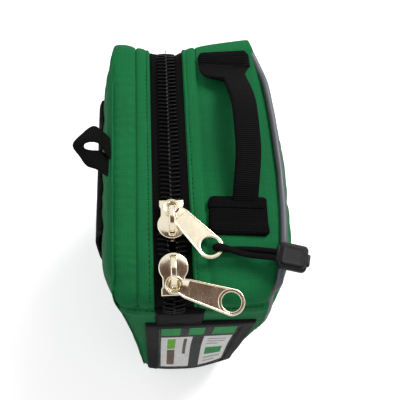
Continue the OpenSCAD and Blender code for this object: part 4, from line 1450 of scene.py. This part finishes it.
def addStrap():
    # section carried along the strap line, flatter where it is sewn down and wider at the far end
    f = handleFacts
    line = evenly(curveThrough(strapLine, 400), 0.7)
    y = line[:, 0]
    widened = smooth(y, *f["widens"])
    leant = f["leanOut"] * smooth(y, *f["leanFrom"]) * (1 - smooth(y, *f["leanTo"]))
    path = settle(levelLine(f["x"] + leant + (f["anchorX"] - f["x"]) * widened, y, line[:, 1]))
    t = unit(np.gradient(path, axis=0))
    side = unit(sideways - (sideways * t).sum(-1, keepdims=True) * t)
    up = np.cross(side, t)
    wide = (f["strapWide"] + (f["anchorWide"] - f["strapWide"]) * widened) / 2
    flattened = np.maximum(widened, 1 - smooth(y, *f["flattens"]))
    high = f["strapThick"] + (f["flatThick"] - f["strapThick"]) * flattened
    cut = int(np.argmin(np.abs(y - f["cut"])))
    for name, pick, first, last, anchor in (
            ("handleStrapNear", slice(0, cut + 1), -0.031, -0.008, "near_handle_anchor"),
            ("handleStrapFar", slice(cut, None), 0.058, 0.036, "far_handle_anchor")):
        piece = sweepPiece(name, np.array(strapSection), path[pick], side[pick], up[pick], blackWebbing,
                           wide[pick], high[pick], start=lengths(path)[pick][0])
        blended(piece, "handle", (f["turnX"], first, f["turnZ"]), (f["turnX"], last, f["turnZ"]),
                "black_webbing", "handle_strap", anchor)


def addAnchors():
    f = handleFacts
    for name, (middleY, tall, thick, turn, rows) in anchors.items():
        a = math.radians(turn)
        across = np.array([math.cos(a), math.sin(a), 0])
        along = np.array([-math.sin(a), math.cos(a), 0])
        centre = np.array([f["anchorX"], middleY, bag["height"] - 0.3])
        size = (f["anchorWide"], tall, thick)
        edge = min(f["edge"], thick / 2)
        piece = padPiece(name, centre, across, along, size, edge, padWebbing, f["corner"], f["crown"],
                         wornPad)
        together(piece, "bag", "black_webbing")
        reach = np.linspace(-f["sewnIn"], f["sewnIn"], 40)[:, None]
        for k, at in enumerate(rows):
            line = wornPad(centre + reach * across + at * tall * along + thick * upward)
            together(stitchRow(f"{name}Stitch{k}", line, upward, blackThread), "bag", "black_webbing")


addStrap()
addAnchors()

# hang loop: webbing from the back seam, folded to a point and back beside itself, by its two edge lines
loopFacts = {"thick": 1.5, "wide": 20, "count": 140, "turnFrom": (-0.0435, 0, 0.1788),
             "turnTo": (-0.050, 0, 0.1788)}
loopOuter = [[-42.6, 12.4, 177.0], [-48.5, 17.6, 180.2], [-53.8, 20.6, 181.6], [-59.6, 15.4, 182.2],
             [-64.6, 9.0, 181.0], [-61.0, 3.0, 178.6], [-57.0, -2.4, 177.6], [-51.0, -5.4, 178.0],
             [-42.6, -12.0, 176.8]]
loopInner = [[-42.6, -1.4, 177.4], [-46.0, 2.2, 180.4], [-50.2, 8.2, 182.6], [-54.6, 9.0, 183.6],
             [-58.0, 8.4, 182.4], [-58.0, 7.0, 180.6], [-54.6, 6.0, 180.2], [-50.0, 5.8, 179.4],
             [-42.6, 3.2, 176.9]]


def addHangLoop():
    # ruled strip between the outer and the inner line, thickened along its own normal, with thinner edges
    f = loopFacts
    outer = curveThrough(loopOuter, f["count"])
    inner = curveThrough(loopInner, f["count"])
    v = np.linspace(0, 1, 14)[None, :, None]
    middle = outer[:, None] * (1 - v) + inner[:, None] * v
    normal = unit(np.cross(np.gradient(middle, axis=0), np.gradient(middle, axis=1)))
    normal = normal * np.sign(normal[:1, :, 2:] + 1e-9)
    puff = (0.25 + 0.75 * crowned(v) ** 0.3) * f["thick"] / 2 * normal
    cloth = np.stack(np.broadcast_arrays(v[..., 0] * f["wide"], lengths((outer + inner) / 2)[:, None]), -1)
    piece = shellPiece("hangLoop", middle + puff, middle - puff, cloth, blackWebbing)
    blended(piece, "hang_loop", f["turnFrom"], f["turnTo"], "black_webbing", "hang_loop")


addHangLoop()

# belt band on the back, bowed off the panel and sewn along its top and bottom
bandFacts = {"wide": 88.0, "middle": 10.0, "thick": 1.6, "outX": -54.6, "low": 108.0, "high": 160.0,
             "under": 0.3, "points": 45, "rows": 60, "sewnWide": 0.96,
             "stitchRows": (-0.97, -0.9, 0.9, 0.97)}


def bandX(t, y):
    # from the panel's own face at the sewn edges, t = -1 and 1, out to one level over the middle; the face
    # at a point is the mean of the eight nearest points of the panel
    f = bandFacts
    edges = []
    for z in (f["low"], f["high"]):
        awayY = backSkin[..., 1].reshape(1, -1) - y[:, None]
        awayZ = backSkin[..., 2].reshape(1, -1) - z
        gaps = awayY**2 + awayZ**2
        edges.append(backSkin[..., 0].ravel()[np.argsort(gaps, 1)[:, :8]].mean(1) - f["under"])
    sewn = edges[0] + (edges[1] - edges[0]) * (t[:, None] + 1) / 2
    off = 1 - t[:, None] ** 4
    return sewn * (1 - off) + f["outX"] * off


def addBeltBand():
    # sheet of one thickness about x = bandX
    f = bandFacts
    t = np.linspace(-1, 1, f["rows"])
    y = f["middle"] + f["wide"] / 2 * np.linspace(-1, 1, f["points"])
    middleZ = (f["low"] + f["high"]) / 2
    halfZ = (f["high"] - f["low"]) / 2
    z = (middleZ + halfZ * t)[:, None]
    middle = levelLine(bandX(t, y), y, z)
    puff = f["thick"] / 2 * sideways
    cloth = np.stack(np.broadcast_arrays(y, z), -1)
    piece = shellPiece("beltBand", middle - puff, middle + puff, cloth, blackWebbing)
    together(piece, "bag", "black_webbing", "belt_band")
    for k, at in enumerate(f["stitchRows"]):
        x = bandX(np.array([at]), y)[0] - f["thick"] / 2
        line = levelLine(x, f["middle"] + (y - f["middle"]) * f["sewnWide"], middleZ + halfZ * at)
        together(stitchRow(f"beltBandStitch{k}", line, -sideways, blackThread), "bag", "black_webbing")


addBeltBand()
print("webbing made")

# label pocket on the near end: binding, clear window and card
labelFacts = {"x": 1.2, "z": 22.0, "wide": 61.0, "tall": 119.0, "binding": 7.5, "lean": 0.018, "leanZ": 77,
              "corner": 2.2, "cornerSteps": 6, "split": 14, "stitchIn": (1.5, 6.0), "stitchOut": 1.95,
              "overlap": 0.6, "film": 0.3, "windowOut": 1.05, "swell": 0.45, "filmWave": 0.08,
              "cardOut": 0.7, "cardThick": 0.5}
# half of the binding's section from the outside, as (inset, rise)
bindingEdge = ((0, -0.2), (0, 0.9), (0.35, 1.6), (1.0, 1.95), (2.2, 2.0))
# blocks of the card: left and top, width and height, and ink
cardInks = [cardBlack, cardWhite, cardGreen, cardLime, cardBrown, cardGrey]
cardBlocks = [(-22, 2, 12, 20, cardGreen), (-6, 2, 10, 20, cardGreen), (8, 2, 14, 20, cardGreen),
              (-22, 27, 20, 66, cardWhite), (4, 27, 18, 66, cardWhite), (-18, 32, 6, 26, cardLime),
              (-18, 60, 6, 28, cardBrown), (-8, 32, 3, 36, cardBrown), (7, 34, 12, 3, cardGrey),
              (7, 41, 12, 3, cardGrey), (7, 48, 8, 3, cardGrey), (7, 58, 12, 14, cardGreen),
              (7, 77, 12, 3, cardGrey), (7, 84, 9, 3, cardGrey), (-22, 100, 44, 8, cardGreen)]


def onLabel(u, v, rise):
    # label points from its middle, out by rise, sheared sideways with height, then settled with the bag
    f = labelFacts
    z = f["z"] + f["tall"] / 2 + v
    return settle(levelLine(f["x"] + u + f["lean"] * (z - f["leanZ"]), nearEnd - rise, z))


def labelOutline(inset, corner, steps):
    return roundedBox(labelFacts["wide"] - 2 * inset, labelFacts["tall"] - 2 * inset, corner, steps)


def addLabelBinding():
    # low arch of tape carried round a rectangle, and sewn along both its edges
    f = labelFacts
    wide = f["binding"]
    section = [*bindingEdge, (wide / 2, 1.8), (wide - 2.2, 2.0), (wide - 1.0, 1.95), (wide - 0.35, 1.65),
               (wide, 1.1), (wide, -0.2)]
    part = np.linspace(0, 1, f["split"], endpoint=False)[None, :, None]
    rings = []
    for inset, rise in section:
        o = labelOutline(inset, max(f["corner"] - inset, 0.5), f["cornerSteps"])
        o = (o[:, None] + (np.roll(o, -1, 0) - o)[:, None] * part).reshape(-1, 2)
        rings.append(onLabel(o[:, 0], o[:, 1], rise))
    rings = np.array(rings)
    quads, cells = gridQuads(len(section), rings.shape[1], wrap=True, wrapRows=True)
    around = lengths(closedLine(rings[0]))
    over = lengths(np.array(section))
    over = np.append(over, over[-1] + 7)
    cloth = np.stack([over[cells[..., 0]], around[cells[..., 1]]], -1)
    piece = addPiece("labelBinding", rings.reshape(-1, 3), [quads], [cloth], bindingTape)
    together(piece, "bag", "black_webbing", "label_binding")
    for k, inset in enumerate(f["stitchIn"]):
        line = evenly(closedLine(labelOutline(inset, 1.0, 4)), 1.5)
        path = onLabel(line[:, 0], line[:, 1], f["stitchOut"])
        row = stitchRow(f"labelStitch{k}", path, -lengthways, blackThread, radius=0.16, lift=-0.06)
        together(row, "bag", "black_webbing")


def addLabelWindow(wide, tall):
    # thin clear sheet with a slight swell
    f = labelFacts
    u, v = np.meshgrid(np.linspace(-1, 1, 26), np.linspace(-1, 1, 56), indexing="ij")
    cloth = np.stack([u * wide / 2, v * tall / 2], -1)
    rise = f["windowOut"] + f["swell"] * (1 - u**4) * (1 - v**4)
    rise = rise + f["filmWave"] * ripple(cloth[..., 0], cloth[..., 1], 30, 81)
    place = (u * (wide / 2 + f["overlap"]), v * (tall / 2 + f["overlap"]))
    piece = shellPiece("labelWindow", onLabel(*place, rise + f["film"]), onLabel(*place, rise), cloth,
                       clearVinyl)
    together(piece, "bag", "clear_vinyl", "label_window")


def addLabelCard(wide, tall):
    # grid of cells about 1 mm wide that take their ink from plain blocks laid out by position
    f = labelFacts
    u, v = np.meshgrid(np.arange(wide + 1) - wide / 2, np.arange(tall + 1) - tall / 2, indexing="ij")
    cellU = (u[:-1, :-1] + 0.5).ravel()
    cellV = tall / 2 - (v[:-1, :-1] + 0.5).ravel()
    picks = np.zeros(wide * tall, int)
    for left, top, blockWide, blockTall, ink in cardBlocks:
        inside = (cellU > left) & (cellU < left + blockWide) & (cellV > top) & (cellV < top + blockTall)
        picks[inside] = cardInks.index(ink)
    outer = onLabel(u, v, f["cardOut"])
    inner = onLabel(u, v, f["cardOut"] - f["cardThick"])
    piece = shellPiece("labelCard", outer, inner, None, cardInks, picks)
    together(piece, "bag", "printed_card", "label_card")


windowWide = labelFacts["wide"] - 2 * labelFacts["binding"]
windowTall = labelFacts["tall"] - 2 * labelFacts["binding"]
addLabelBinding()
addLabelWindow(windowWide, windowTall)
addLabelCard(int(windowWide - 1), int(windowTall - 1))

# seams of the shell: topstitching beside each cross seam
seamFacts = {"beside": 2.2, "up": 0.05, "backIn": 5, "frontIn": 8, "radius": 0.18}


def addSeamStitches():
    f = seamFacts
    seams = [("nearCrossSeam", nearSeam, -1), ("farCrossSeam", farSeam, 1), ("baseSeamNear", 1.0, -1),
             ("baseSeamFar", baseFar, 1)]
    for name, level, end in seams:
        at = level + f["beside"] * end
        half = halfWidth(onRun(at)[1])
        line, out = crossLine(at, np.linspace(f["backIn"] - half, half - f["frontIn"], 80), f["up"])
        row = stitchRow(name + "Stitch", line, out, greenThread, radius=f["radius"], lift=0.0)
        together(row, "bag", "green_cloth")


addSeamStitches()
print("label and seams made")

# contents: rolls by their middle (along, height), ends, outer and inner radius and layers
rolls = {"bandageRollLarge": (-50, 27, -19.6, 29.6, 23.6, 1.6, 9),
         "bandageRollSmall": (-6, 21, -19.6, 29.6, 17.6, 1.4, 7),
         "tapeRoll": (40, 25, -19.8, 4.8, 21.7, 13.1, 6)}
rollLook = {"steps": 96, "groove": 0.35, "wave": 0.12, "spiral": 0.006}
# stacked packets: count, corners of the lowest, step, material, seed, slot and node
stackedPacks = {
    "gauzePack": (4, (-20, -74, 52), (30, -20, 58), 6.5, paperWrap, 91, "white_wrap", "gauze_packs"),
    "wipePack": (5, (-18, -16, 42), (28, 17, 47), 5.4, blueFilm, 101, "blue_wrap", "wipe_packs")}
foilPlace = {"x": -35.8, "z": 66}
packLook = {"grid": 40, "crimp": 3.0, "crimpHigh": 0.12, "crimpStep": 1.6, "power": 5, "plump": 0.45,
            "edge": 0.08, "swell": 0.86, "dent": 0.05, "full": 0.98}


def pillowPack(name, low, high, material, seed):
    # sealed packet: two faces swell from a flat crimped edge, with soft dents
    f = packLook
    low, high = np.array(low, float), np.array(high, float)
    centre, half = (low + high) / 2, (high - low) / 2
    u, v = np.meshgrid(np.linspace(-1, 1, f["grid"]), np.linspace(-1, 1, f["grid"]), indexing="ij")
    cloth = np.stack([u * half[0], v * half[1]], -1)
    swell = np.clip((1 - np.abs(u) ** f["power"]) * (1 - np.abs(v) ** f["power"]), 0, 1) ** f["plump"]
    crimped = np.abs(v) > 1 - f["crimp"] / half[1]
    edge = f["crimpHigh"] * np.sin(2 * np.pi * cloth[..., 0] / f["crimpStep"]) * crimped
    dent = f["dent"] * ripple(cloth[..., 0], cloth[..., 1], 26, seed)
    above = np.minimum(f["edge"] + f["swell"] * swell + dent * swell, f["full"])
    below = np.minimum(f["edge"] + f["swell"] * swell, f["full"])
    x, y = centre[0] + cloth[..., 0], centre[1] + cloth[..., 1]
    outer = np.stack([x, y, centre[2] + half[2] * above + edge], -1)
    inner = np.stack([x, y, centre[2] - half[2] * below + edge], -1)
    return shellPiece(name, outer, inner, cloth, material)


def rollPiece(name, material):
    # wound roll: ring profile with a groove per layer on its ends, turned round the X axis
    f = rollLook
    y, z, x0, x1, radius, bore, layers = rolls[name]
    r = np.linspace(bore, radius - 0.5, 6 * layers)
    groove = f["groove"] * np.abs(np.sin(np.pi * layers * (r - bore) / (radius - bore)))
    x = np.linspace(x0 + 0.5, x1 - 0.5, 30)
    left = np.stack([x0 + 0.4 - groove, r], -1)
    outside = np.stack([x, radius - 0.15 + f["wave"] * np.sin(x * 1.9)], -1)
    right = np.stack([x1 - 0.4 + groove, r], -1)[::-1]
    inside = np.stack([np.linspace(x1 - 0.4, x0 + 0.4, 6)[1:-1], np.full(4, bore)], -1)
    profile = np.concatenate([left, outside, right, inside])
    a = circle(f["steps"])[:, None]
    wound = profile[:, 1] * (1 + f["spiral"] * a / (2 * np.pi) * (profile[:, 1] > bore + 0.1))
    verts = levelLine(profile[:, 0], y + wound * np.cos(a), z + wound * np.sin(a))
    quads, cells = gridQuads(f["steps"], len(profile), wrap=True, wrapRows=True)
    section = lengths(closedLine(profile))
    cloth = np.stack([section[cells[..., 1]], cells[..., 0] * 2 * np.pi * radius / f["steps"]], -1)
    return addPiece(name, verts.reshape(-1, 3), [quads], [cloth], material)


def addPacks():
    together(rollPiece("bandageRollLarge", whiteGauze), "bag", "white_gauze", "bandage_roll_large")
    together(rollPiece("bandageRollSmall", whiteGauze), "bag", "white_gauze", "bandage_roll_small")
    together(rollPiece("tapeRoll", paperWrap), "bag", "white_gauze", "tape_roll")
    for name, (count, low, high, step, material, seed, slot, node) in stackedPacks.items():
        for k in range(count):
            up = step * k * upward
            piece = pillowPack(f"{name}{k}", low + up, high + up, material, seed + k)
            together(piece, "bag", slot, *([node] if k == 0 else []))
    pack = pillowPack("glovePack", (-20, -72, 80), (30, 14, 98), blueFilm, 111)
    together(pack, "bag", "blue_wrap", "glove_pack")
    # the foil blanket stands on edge behind the divider
    pack = pillowPack("foilBlanket", (-44, -32, -4.2), (44, 32, 4.2), foilFilm, 113)
    turned = ((0, 0, 1, foilPlace["x"] * mm), (1, 0, 0, 0), (0, 1, 0, foilPlace["z"] * mm), (0, 0, 0, 1))
    pack.data.transform(Matrix(turned))
    together(pack, "bag", "foil_wrap", "foil_blanket_pack")


addPacks()

# carton with softened edges, a printed band and a tuck flap; outlines as (height, inset)
cartonFacts = {"place": (5, 44), "size": (50, 48), "flap": (47, 30, 0.35), "flapZ": 95.9}
cartonOutlines = ((50, 0.5), (50.3, 0.1), (50.8, 0), (95.2, 0), (95.7, 0.1), (96, 0.5))
cartonBand = ((66, -0.02), (66.05, -0.12), (83.95, -0.12), (84, -0.02))


def cartonRings(outlines, corner):
    wide, tall = cartonFacts["size"]
    return [atHeight(roundedBox(wide - 2 * inset, tall - 2 * inset, corner) + cartonFacts["place"], z)
            for z, inset in outlines]


def addCarton():
    f = cartonFacts
    box = stackPiece("plasterBox", cartonRings(cartonOutlines, 0.8), cartonBoard)
    together(box, "bag", "carton", "plaster_box")
    together(stackPiece("plasterBoxBand", cartonRings(cartonBand, 0.9), cardGreen), "bag", "carton")
    centre = np.array([*f["place"], f["flapZ"]])
    flap = padPiece("plasterBoxFlap", centre, sideways, lengthways, f["flap"], 0.15, cartonBoard, 4)
    together(flap, "bag", "carton")


addCarton()

# divider: a cloth sheet stretched between the two ends, with a bound top edge and an elastic tool band
dividerFacts = {"half": 77.4, "low": 18.6, "high": 104, "x": -30.1, "thick": 0.8, "wave": 0.175,
                "hemX": -30.5, "hemHalf": 77, "hemZ": 104.2, "hem": (2.2, 5.0, 0.9)}
toolFacts = {"from": 22, "to": 66, "z": 75.0, "x": -29.4, "arch": 4.2, "archY": 45, "archHalf": 6.5,
             "band": (18, 1.0, 0.4), "stitchX": -28.7, "stitchZ": (67.5, 82.5), "stitchY": (24, 33, 57, 64)}


def addDivider():
    # flat sheet with slight waves that fade to both ends, and a tape over its top
    f = dividerFacts
    along = np.linspace(-f["half"], f["half"], 70)
    u, v = np.meshgrid(along, np.linspace(f["low"], f["high"], 44), indexing="ij")
    wave = f["wave"] * ripple(u, v, 40, 121) * (1 - (u / f["half"]) ** 4)
    outer = np.stack([f["x"] + wave, u, v], -1)
    sheet = shellPiece("dividerSheet", outer, outer - f["thick"] * sideways, np.stack([u, v], -1),
                       greenLining)
    together(sheet, "bag", "green_cloth", "divider_panel")
    line = levelLine(f["hemX"], np.linspace(-f["hemHalf"], f["hemHalf"], 90), f["hemZ"])
    hem = sweepPiece("dividerBinding", roundedBox(*f["hem"]), line, *frames(line, sideways), bindingTape)
    together(hem, "bag", "black_webbing")


def addToolBand():
    # lies on the divider and arches over the tweezers
    f = toolFacts
    y = np.linspace(f["from"], f["to"], 90)
    line = levelLine(f["x"] + f["arch"] * np.exp(-(((y - f["archY"]) / f["archHalf"]) ** 4)), y, f["z"])
    band = sweepPiece("toolBand", roundedBox(*f["band"]), line, *frames(line, upward), blackWebbing)
    together(band, "bag", "black_webbing", "tool_band")
    for k, at in enumerate(f["stitchY"]):
        line = levelLine(f["stitchX"], at, np.linspace(*f["stitchZ"], 20))
        row = stitchRow(f"toolBandStitch{k}", line, sideways, blackThread, length=2.0, gap=0.8, radius=0.25)
        together(row, "bag", "black_webbing")


addDivider()
addToolBand()
for node, material in (("tweezers", tweezerSteel), ("tape_core", coreBoard)):
    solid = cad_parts[node]
    solid.data.materials.clear()
    solid.data.materials.append(material)
print("contents made")

# stage, in metres: white floor that keeps the shadow, white surroundings, two lamps and an overhead card
lightFacts = {"fill": 0.62, "floorHalf": 4, "floorZ": -0.0002, "floorGlow": 0.48, "tint": (1.0, 0.98, 0.95),
              "target": (0, 0, 0.15), "cardTint": (0.10, 0.045, 0.03, 1)}
lamps = {"keyLamp": {"energy": 10.0, "place": (0.52, 0.46, 1.0), "size": 0.5},
         "rimLamp": {"energy": 1.4, "place": (-0.95, -0.1, 0.8), "size": 0.8}}
overhead = {"left": -0.45, "right": 0.5, "front": -0.55, "back": 0.2, "z": 1.2}


def addStageSheet(name, corners, material):
    mesh = bpy.data.meshes.new(name)
    mesh.from_pydata(corners, [], [(0, 1, 2, 3)])
    mesh.materials.append(material)
    sheet = bpy.data.objects.new(name, mesh)
    scene.collection.objects.link(sheet)


def addWorld():
    # 1 for rays from the eye, from metal and through film; the fill's strength for light on the object
    world = bpy.data.worlds.new("studio")
    scene.world = world
    world.use_nodes = True
    tree = world.node_tree
    node = tree.nodes.new("ShaderNodeLightPath")
    seen = maths(tree, "MAXIMUM", node.outputs["Is Camera Ray"], node.outputs["Is Glossy Ray"])
    seen = maths(tree, "MAXIMUM", seen, node.outputs["Is Transmission Ray"])
    back = tree.nodes["Background"]
    back.inputs["Color"].default_value = (1, 1, 1, 1)
    tree.links.new(ranged(tree, seen, 0, 1, lightFacts["fill"], 1.0), back.inputs["Strength"])


def addFloor():
    sockets = {"Base Color": (0.86, 0.85, 0.88, 1), "Roughness": 0.9, "Specular IOR Level": 0.1,
               "Emission Color": (1, 1, 1, 1)}
    material, tree, shader = startMaterial("floorPaper", **sockets)
    seen = tree.nodes.new("ShaderNodeLightPath").outputs["Is Camera Ray"]
    tree.links.new(ranged(tree, seen, 0, 1, 0.0, lightFacts["floorGlow"]), shader.inputs["Emission Strength"])
    half, z = lightFacts["floorHalf"], lightFacts["floorZ"]
    addStageSheet("floor", [(-half, -half, z), (half, -half, z), (half, half, z), (-half, half, z)], material)


def addOverheadCard():
    f = overhead
    material, _, _ = startMaterial("overheadCard", **{"Base Color": lightFacts["cardTint"]})
    corners = [(f["left"], f["front"]), (f["left"], f["back"]), (f["right"], f["back"]),
               (f["right"], f["front"])]
    addStageSheet("overheadCard", [(x, y, f["z"]) for x, y in corners], material)


def addLamps():
    for name, facts in lamps.items():
        data = bpy.data.lights.new(name, "AREA")
        data.energy = facts["energy"]
        data.size = facts["size"]
        data.color = lightFacts["tint"]
        lamp = bpy.data.objects.new(name, data)
        lamp.location = facts["place"]
        aim = Vector(lightFacts["target"]) - Vector(facts["place"])
        lamp.rotation_euler = aim.to_track_quat("-Z", "Y").to_euler()
        scene.collection.objects.link(lamp)


addWorld()
addFloor()
addOverheadCard()
addLamps()
print("stage made")
